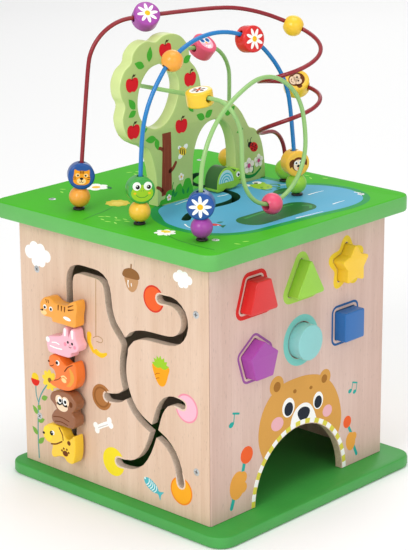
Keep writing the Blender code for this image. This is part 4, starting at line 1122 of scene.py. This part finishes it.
def print_front():
    p = Print("print_front", "cube", FRONT, "natural_wood")
    p.add("cloud", *cloud(-110, 254, 1.0), *cloud(104, 271, 0.66))
    # Acorn
    p.add("nut", smooth([(22.5, 258), (40.5, 258), (39.5, 249), (35.5, 244), (31.5, 242.6), (27, 244.5),
                         (23.5, 250)][::-1], 4))
    p.add("cap", smooth([(18.5, 259.5), (21, 264.5), (26, 267), (31.5, 268), (37, 267), (41.5, 264.5),
                         (43.5, 260), (41, 257.5), (31, 256.8), (21.5, 257)], 4),
          band([(31.3, 267), (31.7, 272)], 1.7), level=1)
    p.add("bone", stroke([(27, 254), (26.6, 250), (28, 247)], 1.5, 0.4),
          stroke([(31.4, 252), (31.4, 250), (31.8, 249)], 0.9), level=1)
    # Bananas on a string
    p.add("string", stroke([(-21, 247), (-22, 215), (-23, 182)], 1.1),
          stroke([(-27, 180), (-20, 183), (-13, 181), (-15, 177), (-22, 177)], 0.9))
    p.add("gold", stroke([(-33, 182), (-33, 173), (-27, 164)], 7.0, 0.5),
          stroke([(-23, 165), (-15, 162.6), (-8, 166)], 6.6, 0.5))
    p.add("sun", stroke([(-31, 180), (-30.5, 173), (-27, 168)], 1.4, 0.4),
          stroke([(-21, 166.4), (-16, 165.2), (-12, 166)], 1.4, 0.4), level=1)
    # Carrot
    p.add("carrot", smooth([(61, 173), (83, 173), (82, 163), (78, 153), (73, 150), (68, 152),
                            (62.5, 161)][::-1], 4))
    p.add("carrot_top", *[leaf(71.5, 170.5, 12.5, 5.4, turn) for turn in (166, 140, 114, 90, 64, 38, 14)],
          level=1)
    p.add("carrot_line", stroke([(64, 161), (67, 163), (70, 163.6)], 1.0),
          stroke([(65, 156.6), (67.4, 158), (69.6, 158.6)], 1.0), level=1)
    # Bone
    p.add("bone", stroke([(-23, 80), (-15, 84.5), (-6, 89)], 5.4),
          *[circle(x, y, 3.6, 18) for x, y in ((-26.4, 81.6), (-24.2, 76.4), (-5.4, 92.4), (-3.2, 87.2))])
    p.add("bone_shade", stroke([(-22, 80), (-14, 84), (-8, 87)], 1.1), level=1)
    # Fish
    fish = moved(smooth([(-15, 0), (-10, 4.6), (-3, 5.6), (4, 4.6), (9, 2.0), (14.5, 6.0), (13, 0),
                         (14.5, -6.0), (9, -2.0), (4, -4.6), (-3, -5.6), (-10, -4.6)][::-1], 4), 58.5, 34.5,
                 -28)
    p.add("fish", fish)
    p.add("fish_light", *[moved(arc(x - 6, 0, 6, -48, 48, 1.1, 8), 58.5, 34.5, -28)
                          for x in (-7, -4, -1, 2, 5)], level=1)
    p.add("fish_light", circle(46.8, 41.6, 1.3, 12), level=1)
    # Flowers on the left
    p.add("stem", stroke([(-118, 19), (-118.6, 40), (-118, 62), (-116, 84), (-110.5, 97), (-102, 108)], 1.7),
          stroke([(-116, 84), (-119.5, 93), (-120, 104)], 1.5))
    for x, y, length, turn in ((-118, 70, 12, 130), (-111, 90, 11, 25), (-118, 62, 12, 25),
                               (-118.6, 46, 12, 138), (-118.6, 36, 14, 42), (-117, 76, 7, 60)):
        p.add("leaf", leaf(x, y, length, 6.0, turn), level=1)
    cup = [(-120.4 + 6.8 * cos(radians(a)), 110.6 + 7.6 * sin(radians(a))) for a in range(180, 361, 12)]
    p.add("tulip_top", circle(-120.4, 112.4, 5.6, 20))
    p.add("tulip", cup, level=1)
    p.add("sun", *petals(-97, 115, 12.2, 6.6, 9, 10, 0.1))
    p.add("sun", circle(-97, 115, 8.0, 20))
    p.add("cap", circle(-97, 115, 2.9, 16), level=2)
    # Discs at the ends of the grooves, each with a bare ring round the groove
    for colour, rim, x, y, radius in (("flame", "flame_rim", 63, 242, 14.4),
                                      ("brown_disc", None, -16, 116, 14.4), ("lemon", None, 0, 47, 16.0),
                                      ("tangerine", "tangerine_rim", 99.5, 42, 15.4),
                                      ("rose", "rose_rim", 108, 135, 15.6)):
        if rim:
            p.add(rim, circle(x, y, radius, 44))
        p.add(colour, circle(x, y, radius - (1.8 if rim else 0), 44), level=1)
    p.add("brown_ring", circle(-16, 116, 11.6, 40), level=2, hole=circle(-16, 116, 9.6, 40))
    for path in ([(72, 244), (80, 244.5)], [(-8, 118.5), (-1, 119)], [(8, 49), (16, 49.6)],
                 [(99, 50), (98, 57)], [(102, 137), (94, 138)]):
        p.add("bare", band(path, 13.0), level=2)
    p.finish("maze_panel")


print_front()

# Each animal's outline, as (x, z)
ANIMALS = {
    "dog": [(-92, 64), (-88, 70), (-80, 74), (-70, 74.5), (-63, 72), (-58, 64), (-52, 62.5), (-47, 66),
            (-43.5, 68), (-42, 60), (-43, 45), (-47, 36), (-55, 36), (-60, 40), (-68, 39), (-77, 36),
            (-80, 41), (-78, 50), (-87, 52), (-92, 57)],
    "monkey": [(-79, 107), (-75, 112), (-67, 114.5), (-58, 116.2), (-49, 115.5), (-43, 111), (-39, 106),
               (-41, 99), (-45, 94), (-41, 89), (-41, 81), (-46, 76.4), (-60, 76), (-74, 76), (-78, 83),
               (-74, 90), (-70, 94), (-75, 99), (-79, 102)],
    "squirrel": [(-80, 145), (-79, 151), (-73, 154.5), (-65, 154), (-60, 150), (-53, 147), (-46, 150),
                 (-41, 152), (-37.5, 145), (-37, 133), (-42, 123), (-52, 118.2), (-64, 117.4), (-75, 119),
                 (-79, 122), (-72, 127), (-70, 133), (-73, 138), (-79, 140)],
    "rabbit": [(-82, 165), (-82, 172), (-76, 175), (-66, 177), (-58, 180), (-56, 187), (-52.5, 190),
               (-49.5, 187), (-48, 180), (-45, 187), (-41.5, 190), (-38.5, 187), (-37, 179), (-33, 172),
               (-36, 165.5), (-44, 162), (-47, 157), (-56, 156), (-68, 156), (-79, 156.5)],
    "tiger": [(-91, 203), (-90, 210), (-84, 216), (-76, 217.5), (-69, 214), (-60, 213), (-50, 214.5),
              (-43, 219), (-36, 221), (-34, 213), (-36, 203), (-36.5, 194), (-41, 191.6), (-56.8, 191.6),
              (-66.5, 191.4), (-72.3, 191.8), (-74, 195.2), (-83.8, 195.1), (-88.6, 197.5)],
}


def paint_dog(p):
    p.add("sun", ellipse(-84, 62, 6.5, 8.5, 20))
    p.add("white", circle(-76, 64.6, 2.6, 18), level=1)
    p.add("black", circle(-78, 63.6, 2.7, 18), level=2)
    p.add("white", circle(-77, 64.6, 0.7, 10), level=3)
    p.add("black", ellipse(-90.5, 61.0, 1.9, 1.5), level=1)
    p.add("brown_ink", stroke([(-79, 51), (-71, 53), (-62, 58)], 1.6), circle(-51, 59, 2.6, 16),
          stroke([(-66, 73), (-61, 66), (-60, 60)], 1.2), level=1)
    p.add("brown_ink", ellipse(-57, 45.6, 4.2, 3.2),
          *[circle(-57 + 5.6 * cos(radians(a)), 46.0 + 5.2 * sin(radians(a)), 1.3, 12)
            for a in (20, 65, 115, 160)], level=1)


def paint_monkey(p):
    p.add("monkey_face", circle(-64.5, 105, 5.8, 22), circle(-55, 105, 5.8, 22), ellipse(-60, 99, 8.8, 5.8))
    p.add("white", ellipse(-63.6, 105.2, 3.2, 4.0), ellipse(-55.6, 105.2, 3.2, 4.0), level=1)
    p.add("black", circle(-62.8, 105.0, 2.0, 16), circle(-55.0, 105.0, 2.0, 16), level=2)
    p.add("brown_ink", ellipse(-46.4, 104, 2.6, 3.2), level=1)
    p.add("brown_ink", stroke([(-74, 84), (-62, 86), (-50, 84)], 1.0),
          stroke([(-72, 79), (-62, 80.6), (-52, 79)], 1.0), level=1)


def paint_squirrel(p):
    p.add("white", circle(-65.2, 147, 2.9, 20))
    p.add("black", circle(-66.2, 146.8, 1.9, 16), level=1)
    p.add("brown_ink", stroke([(-54.5, 140), (-49, 146), (-42, 149.5)], 1.4, 0.6),
          ellipse(-79.0, 146.0, 1.3, 1.2), stroke([(-77, 141.5), (-74, 141.8), (-71.5, 143.4)], 0.7), level=1)
    p.add("mid_orange", smooth([(-47, 145), (-41, 140), (-40.5, 132), (-46, 125), (-52, 124), (-46, 131),
                                (-46, 138)], 4))
    p.add("tiger_light", ellipse(-56, 129.4, 3.8, 2.6, -12),
          stroke([(-60, 132.5), (-56, 134.2), (-52, 132.5)], 1.6), level=1)
    p.add("brown_ink", stroke([(-71, 126), (-65, 128.5), (-61, 132)], 0.9, 0.6), level=1)


def paint_rabbit(p):
    p.add("white", stroke([(-52.5, 187), (-52.6, 181)], 3.6, 0.7),
          stroke([(-41.5, 187), (-41.2, 180)], 3.6, 0.7), circle(-79.5, 170.5, 3.0, 18))
    p.add("white", stroke([(-73, 168.5), (-67, 169.5), (-62, 168.5)], 1.3),
          stroke([(-76, 164), (-67, 163.4), (-58, 164)], 1.5))
    p.add("black", circle(-48.2, 174, 1.5, 14), circle(-41.8, 173.6, 1.5, 14), level=1)
    p.add("rose_rim", circle(-52.6, 171, 2.2, 16), circle(-38.0, 170.4, 2.0, 16),
          ellipse(-45, 171.6, 1.1, 0.9), level=1)
    p.add("brown_ink", stroke([(-47.0, 169.4), (-45.0, 168.6), (-43.2, 169.4)], 0.6), level=1)


def paint_tiger(p):
    p.add("tiger_light", ellipse(-84.5, 199.6, 4.6, 2.8))
    p.add("white", circle(-82.4, 206, 2.6, 18), circle(-73.2, 205.6, 2.6, 18))
    p.add("black", circle(-82.6, 205.6, 1.6, 14), circle(-73.2, 205.2, 1.6, 14),
          ellipse(-86.6, 202.0, 1.5, 1.1), level=1)
    p.add("tiger_line", *[stroke([(x, 211.6), (x - 0.4, 207.0)], 2.0, 0.6) for x in (-61.5, -56.6, -51.8)],
          level=1)
    p.add("tiger_line", stroke([(-46, 213.6), (-42, 215.4), (-38.6, 216.8)], 1.7, 0.5),
          stroke([(-46, 210.0), (-42, 211.0), (-38.4, 212.2)], 1.9, 0.5), level=1)
    p.add("tiger_line", *[stroke([(x, 214.6), (x + 0.8, 211.4)], 1.3, 0.6) for x in (-80.5, -77.4)],
          stroke([(-90, 201.6), (-87.4, 201.0)], 0.6), level=1)
    p.add("white", ellipse(-48.5, 200, 5.8, 1.9, -6), level=1)


ANIMAL_PRINTS = {"dog": paint_dog, "monkey": paint_monkey, "squirrel": paint_squirrel, "rabbit": paint_rabbit,
                 "tiger": paint_tiger}


def build_animals():
    """The sliding animals, each a rounded board with its printed face and its peg, and the turtle's peg."""
    for name, outline in ANIMALS.items():
        low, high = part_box(name)
        thick = (high.y - low.y) / MM
        mesh = slab([smooth(outline, 5)], thick, 1.7)
        place = frame_of((0, (low.y + high.y) / 2 / MM, 0), (1, 0, 0), (0, -1, 0))
        stand_in(name, mesh, plain(name), place, 50)
        p = Print("print_" + name, name, face_plane((1, 0, 0), (0, -1, 0), name, 0), NODE_SLOT[name])
        ANIMAL_PRINTS[name](p)
        p.finish()
        refine(name + "_peg", [SLOT_LOOK["peg_black"]], 0.2)
    refine("turtle_peg", [SLOT_LOOK["peg_black"]], 0.2)


build_animals()


# ----------------------------------------------------------- shape sorter face

def rim_point(radius, degrees):
    """A point round the centre of the cave's arch."""
    return polar(radius, degrees, 0, 13)


SHAPES = {
    "block_trapezoid": rounded([(-94.5, 231.5), (-51.5, 231.5), (-62.5, 265.0), (-83.5, 265.0)], 2.5),
    "block_triangle": rounded([(-22.5, 231.5), (22.5, 231.5), (0.0, 271.0)], 2.5),
    "block_star": rounded(star(73.0, 248.0, 23.5, 14.0), 2.5),
    "block_pentagon": rounded(polygon(-72.0, 178.0, 22.0, 5), 2.0),
    "block_circle": circle(0.0, 180.0, 19.2, 72),
    "block_square": rounded([(56.5, 165.0), (88.5, 165.0), (88.5, 197.0), (56.5, 197.0)], 2.0),
}


def build_blocks():
    for name, outline in SHAPES.items():
        low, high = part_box(name)
        mesh = slab([outline], (high.x - low.x) / MM, 1.0)
        place = frame_of(((low.x + high.x) / 2 / MM, 0, 0), (0, 1, 0), (1, 0, 0))
        stand_in(name, mesh, plain(name), place, 40)


def note(p, x, y, size, turn, double=False):
    """A printed note of music, or two joined by a beam."""
    parts = [ellipse(0, 0, 3.4, 2.6, 20), stroke([(3.0, 0.6), (4.6, 10.5)], 1.1)]
    if double:
        parts += [ellipse(9, -2.4, 3.2, 2.5, 20), stroke([(11.6, -2.0), (12.6, 8.4)], 1.1),
                  stroke([(4.4, 10.4), (12.8, 8.2)], 2.0)]
    else:
        parts.append(band([(2.4, 10.8), (10.4, 8.6)], 2.0))
    p.add("teal", *[moved(part, x, y, turn, size) for part in parts])


def print_sorter():
    p = Print("print_sorter", "cube", RIGHT, "natural_wood")
    for name, colour, inner, outer in (("block_trapezoid", "line_red", 3.2, 7.6),
                                       ("block_triangle", "line_lime", 1.2, 8.0),
                                       ("block_pentagon", "line_purple", 3.6, 6.2),
                                       ("block_circle", "line_teal", 1.4, 8.6),
                                       ("block_square", "line_blue", 3.8, 6.4)):
        p.add(colour, grown(SHAPES[name], outer), hole=grown(SHAPES[name], inner))
    lobes = [polar(25.4 + 4.8 * cos(radians(5 * (a - 90))), a, 73, 248) for a in range(0, 360, 4)]
    p.add("line_yellow", lobes, hole=rounded(star(73.0, 248.0, 25.0, 15.4), 2.5))
    # Bear over the cave
    for x, y, radius in ((-38, 139, 11.0), (40, 127.5, 9.4)):
        p.add("bear", circle(x, y, radius, 30))
        p.add("bear_dark", circle(x + (0.5 if x < 0 else -1.0), y - 1.0, radius * 0.5, 22), level=2)
    crown = smooth([(-58.5, 63), (-65, 78), (-66.4, 94), (-61.5, 113), (-49, 129), (-30, 138), (-8, 139.6),
                    (12, 138), (32, 132.5), (50, 120), (62, 102), (68, 82), (67.6, 68), (63.5, 57)], 5, False)
    head = crown + [rim_point(76.6, a) for a in range(36, 140, 4)]
    p.add("bear", head[::-1], level=1)
    muzzle = smooth([(-16.4, 86.5), (-13.5, 97), (-6, 105.5), (4, 108.4), (14, 105.6), (21.5, 97), (27, 84)],
                    5, False)
    p.add("white", (muzzle + [rim_point(76.8, a) for a in range(72, 102, 3)])[::-1], level=2)
    p.add("white", ellipse(-19.4, 110, 9.8, 10.8, 6), ellipse(29, 104.6, 8.2, 9.8, 6), level=3)
    p.add("ink_blue", ellipse(-19.0, 108.2, 7.0, 7.6), ellipse(29, 103, 6.2, 7.0), level=4)
    p.add("ink_blue", smooth([(-4.6, 99), (-1.0, 103.2), (6, 104), (13, 101), (15.6, 96.4), (12, 90.6),
                              (5, 88.6), (-1.0, 91.4)][::-1], 4), level=4)
    p.add("bear_dark", ellipse(-9.2, 125.4, 2.8, 2.2, -20), ellipse(17, 122.4, 2.6, 1.9, -10), level=2)
    p.add("cheek", ellipse(-37, 96.6, 9.8, 7.6, -8), ellipse(44.6, 88.4, 7.8, 6.8, -8), level=2)
    # Striped rim of the cave
    count = 30
    for i in range(count):
        low, high = 180 * i / count, 180 * (i + 1) / count
        turns = (low, (low + high) / 2, high)
        stripe = [rim_point(77.2, a) for a in turns] + [rim_point(71.9, a) for a in turns[::-1]]
        if i in (0, count - 1):
            stripe = [(x, max(y, 14.0)) for x, y in stripe]
        p.add("rim_yellow" if i % 2 else "white", stripe, level=5)
    # Flowers and music beside it
    p.add("teal", stroke([(-88, 70), (-90.5, 60)], 4.6), stroke([(-103, 38), (-108, 24)], 5.0),
          stroke([(81, 60), (86, 51)], 3.6), stroke([(91, 34), (96, 23)], 3.8))
    p.add("flame", circle(-84.6, 76.4, 9.4, 30), ellipse(79, 65.4, 6.6, 7.0), level=1)
    p.add("mid_orange", ellipse(-99, 46.6, 11.6, 15.4, -10), circle(-91.4, 53, 7.0, 24),
          circle(-90.4, 42, 6.0, 24), ellipse(85.4, 41, 8.0, 10.8, 8), circle(90.6, 45.4, 5.0, 20), level=1)
    note(p, -108, 116, 1.1, 0)
    note(p, 83, 100, 0.9, -4, True)
    p.finish("sorter_panel")


build_blocks()
print_sorter()


# ------------------------------------------------------------------ gear face

AXLE_RADIUS = 4.4
TEETH = 12
TOOTH_STEPS = 16       # points of the outline for each tooth
PITCH_RADIUS = 42.0
TOOTH_HEIGHT = 4.0     # a tooth above the pitch circle, and a gap below it
MESH_SLACK = 0.15
# Gears: shift of the teeth, colours of the print from the petals inwards
GEARS = {"gear_red": (0.0, ("line_yellow", "tangerine", "white")),
         "gear_yellow": (180.0, ("line_teal", "rose", "white"))}


def build_gears():
    """Two gears with rounded teeth, each on its own wooden axle, with petals on its face."""
    for name, (phase, colours) in GEARS.items():
        slot = NODE_SLOT[name]
        low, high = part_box(name)
        u = -(low.x + high.x) / 2 / MM
        v = (low.z + high.z) / 2 / MM
        board_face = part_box("gear_panel")[1].y
        thick = (high.y - board_face) / MM - 0.8
        turns = [360 * i / (TEETH * TOOTH_STEPS) for i in range(TEETH * TOOTH_STEPS)]
        outline = [polar(PITCH_RADIUS + TOOTH_HEIGHT * cos(radians(TEETH * a + phase)) - MESH_SLACK, a)
                   for a in turns]
        gear = slab([outline], thick, 1.3)
        place = frame_of((-u, high.y / MM - thick / 2, v), (-1, 0, 0), (0, 1, 0))
        stand_in(name, gear, plain(name), place, 45)
        depth = (high.y - low.y) / MM - thick
        axle = lathe([(0.01, 0.2), (0.01, -depth), (AXLE_RADIUS - 0.6, -depth), (AXLE_RADIUS, 0.6 - depth),
                      (AXLE_RADIUS, 0.2)], 32)
        keep(name + "_axle", axle, [WOOD], name, place @ at(0, 0, -thick / 2))
        p = Print("print_" + name, name, frame_of((-u, high.y / MM, v), (-1, 0, 0), (0, 1, 0)), slot)
        p.add(colours[0], *petals(0, 0, 27, 11.5, 6, 15, 0.35))
        p.add(colours[1], circle(0, 0, 12.0, 48), level=1)
        p.add(colours[2], *[circle(*polar(33.0, a), 2.2, 18) for a in range(15, 375, 60)], level=1)
        p.add("sun", circle(0, 0, 5.6, 32), level=2)
        p.finish()


def print_gears():
    p = Print("print_back", "cube", BACK, "natural_wood")
    p.add("cloud", *cloud(-104, 262, 0.9), *cloud(96, 268, 0.7))
    p.add("sun", circle(0, 252, 15.0, 44), *[leaf(*polar(17.6, a, 0, 252), 9.5, 4.6, a)
                                             for a in range(0, 360, 36)])
    p.add("line_teal", stroke([(-120, 58), (-80, 72), (-40, 60), (0, 48), (40, 60), (80, 72), (120, 58)],
                              4.0))
    for x, height, colour in ((-96, 92, "rose"), (-58, 84, "flame"), (58, 84, "lemon"),
                              (96, 92, "tangerine")):
        p.add("stem", stroke([(x, 66), (x - 1.5, height - 8), (x, height)], 1.8))
        p.add("leaf", leaf(x, 72, 12, 5.6, 40), leaf(x, 74, 12, 5.6, 140), level=1)
        p.add(colour, scalloped(x, height + 8, 9.6, 1.3, 7), level=1)
        p.add("white", circle(x, height + 8, 3.2, 20), level=2)
    for x, z, colour in ((-112, 190, "line_purple"), (112, 190, "line_blue"), (-112, 140, "line_lime"),
                         (112, 140, "line_red")):
        p.add(colour, star(x, z, 9.5, 4.4), level=1)
    p.finish("gear_panel")


build_gears()
print_gears()


# ----------------------------------------------------------------- clock face

# Each digit as one stroke, about its own centre
DIGITS = {
    "0": [(0, 3.5), (-2.3, 2.6), (-2.8, 0), (-2.3, -2.6), (0, -3.5), (2.3, -2.6), (2.8, 0), (2.3, 2.6),
          (0, 3.5)], "1": [(-1.6, 2.2), (0.4, 3.5), (0.4, -3.5)],
    "2": [(-2.3, 2.0), (-1.2, 3.3), (0.8, 3.5), (2.3, 2.2), (1.6, 0.2), (-2.4, -3.3), (2.6, -3.3)],
    "3": [(-2.2, 2.8), (0, 3.5), (2.0, 2.4), (1.6, 0.6), (-0.4, 0.2), (2.0, -0.6), (2.3, -2.2), (0.4, -3.5),
          (-2.3, -2.8)], "4": [(1.2, -3.5), (1.2, 3.5), (-2.7, -1.4), (2.9, -1.4)],
    "5": [(2.2, 3.3), (-1.8, 3.3), (-2.0, 0.4), (0.6, 0.9), (2.4, -0.6), (2.0, -2.8), (0, -3.5),
          (-2.3, -2.9)], "6": [(1.8, 3.4), (-0.8, 2.4), (-2.4, 0), (-2.2, -2.4), (0, -3.5), (2.2, -2.6),
                               (2.4, -0.9), (0.8, 0.5), (-1.6, 0.2)],
    "7": [(-2.4, 3.3), (2.5, 3.3), (-0.4, -3.5)], "8": [(0, 0.3), (-1.9, 1.4), (-1.4, 3.1), (0, 3.5),
                                                        (1.4, 3.1), (1.9, 1.4), (0, 0.3), (-2.3, -1.2),
                                                        (-2.0, -2.9), (0, -3.5), (2.0, -2.9), (2.3, -1.2),
                                                        (0, 0.3)],
}
DIGITS["9"] = [(-x, -y) for x, y in DIGITS["6"]]


def number(text, x, y, size):
    """The strokes of a number, centred on (x, y)."""
    shapes = []
    for place, digit in enumerate(text):
        shift = (place - (len(text) - 1) / 2) * 6.6
        line = [(x + size * (u + shift), y + size * v) for u, v in DIGITS[digit]]
        shapes.append(band(line, 1.7 * size))
    return shapes


DIAL_HEIGHT = 165.0


def print_clock():
    p = Print("print_left", "cube", LEFT, "natural_wood")
    p.add("dial_blue", circle(0, DIAL_HEIGHT, 106, 96))
    p.add("dial", circle(0, DIAL_HEIGHT, 98, 96), level=1)
    hues = ["flame", "tangerine", "lemon", "line_lime", "line_teal", "line_blue", "line_purple", "rose"]
    for hour in range(1, 13):
        x, y = polar(80, 90 - 30 * hour, 0, DIAL_HEIGHT)
        p.add(hues[(hour - 1) % len(hues)], circle(x, y, 13.5, 40), level=2)
        p.add("ink_blue", *number(str(hour), x, y, 1.55 if hour < 10 else 1.3), level=3)
    for minute in range(60):
        size = 1.9 if minute % 5 == 0 else 1.0
        p.add("white", circle(*polar(102, 6 * minute, 0, DIAL_HEIGHT), size, 12), level=1)
    p.add("sun", circle(0, DIAL_HEIGHT, 30, 60), level=2)
    p.add("tangerine", *petals(0, DIAL_HEIGHT, 27, 10, 10, 0, 0.45), level=3)
    for x, y, colour in ((-112, 42, "flame"), (112, 42, "line_blue"), (-112, 284, "line_lime"),
                         (112, 284, "rose")):
        p.add(colour, scalloped(x, y, 10, 1.4, 7))
        p.add("white", circle(x, y, 3.4, 20), level=1)
    p.finish("clock_panel")


def build_hands():
    """Hands with rounded edges. The short one lies under the long one, whose axle goes through both."""
    refine("hour_hand", [SLOT_LOOK["hand_red"]], 0.6)
    refine("minute_hand", [SLOT_LOOK["hand_blue"]], 0.6)
    cap = lathe([(0.01, 2.6), (2.6, 2.4), (5.2, 1.5), (6.4, 0.0), (6.4, -0.4), (0.01, -0.4)], 40)
    front = face_plane((0, -1, 0), (-1, 0, 0), "minute_hand", 0)
    keep("hand_cap", cap, [SLOT_LOOK["yellow"]], "minute_hand", front @ at(0, DIAL_HEIGHT, 0))


print_clock()
build_hands()


# ------------------------------------------------------------ floor and light

def build_floor():
    """A pale sheet a hair below the base, so wide that its edges are never in view."""
    mesh = bpy.data.meshes.new("floor")
    reach = 12.0
    mesh.from_pydata([(-reach, -reach, 0), (reach, -reach, 0), (reach, reach, 0), (-reach, reach, 0)], [],
                     [(0, 1, 2, 3)])
    mesh.materials.append(Nodes("floor_paper").finish((0.97, 0.97, 0.968, 1.0), 0.85))
    floor = bpy.data.objects.new("floor", mesh)
    floor.location = (0, 0, cad_box[0].z - 0.0002)
    scene.collection.objects.link(floor)


WORLD_STRENGTH = 0.6
# Round soft lights in metres and watts: place, height of the point they aim at, size, power
LIGHTS = {"key": ((0.6, -3.1, 2.0), 0.2, 1.6, 43), "fill": ((3.1, -1.0, 1.5), 0.25, 2.2, 19),
          "top": ((0.3, 0.2, 3.4), 0.3, 2.4, 34), "rim": ((-1.8, 2.8, 2.0), 0.3, 2.2, 18)}


def build_studio():
    world = bpy.data.worlds.new("studio")
    scene.world = world
    world.use_nodes = True
    background = world.node_tree.nodes["Background"]
    background.inputs["Color"].default_value = (1.0, 1.0, 1.0, 1.0)
    background.inputs["Strength"].default_value = WORLD_STRENGTH
    for name, (place, aim, size, power) in LIGHTS.items():
        data = bpy.data.lights.new(name, "AREA")
        data.shape = "DISK"
        data.size = size
        data.energy = power
        light = bpy.data.objects.new(name, data)
        light.location = place
        light.rotation_euler = (Vector((0, 0, aim)) - Vector(place)).to_track_quat("-Z", "Y").to_euler()
        scene.collection.objects.link(light)


CAMERA_PLACE = (1.42076, -1.50964, 0.86221)     # metres
CAMERA_AZIMUTH, CAMERA_TILT, CAMERA_ROLL = 43.2274, 72.842, -0.3899
CAMERA_LENS = 130.94


def build_camera():
    data = bpy.data.cameras.new("camera")
    data.lens = CAMERA_LENS
    data.sensor_width = 36.0
    data.clip_start = 0.05
    data.clip_end = 60.0
    camera = bpy.data.objects.new("camera", data)
    turn = Matrix.Rotation(radians(CAMERA_AZIMUTH), 4, "Z") @ Matrix.Rotation(radians(CAMERA_TILT), 4, "X")
    roll = Matrix.Rotation(radians(CAMERA_ROLL), 4, "Z")
    camera.matrix_world = Matrix.Translation(CAMERA_PLACE) @ turn @ roll
    scene.collection.objects.link(camera)
    scene.camera = camera


build_floor()
build_studio()
build_camera()
scene.view_settings.view_transform = "Standard"

bpy.context.view_layer.update()
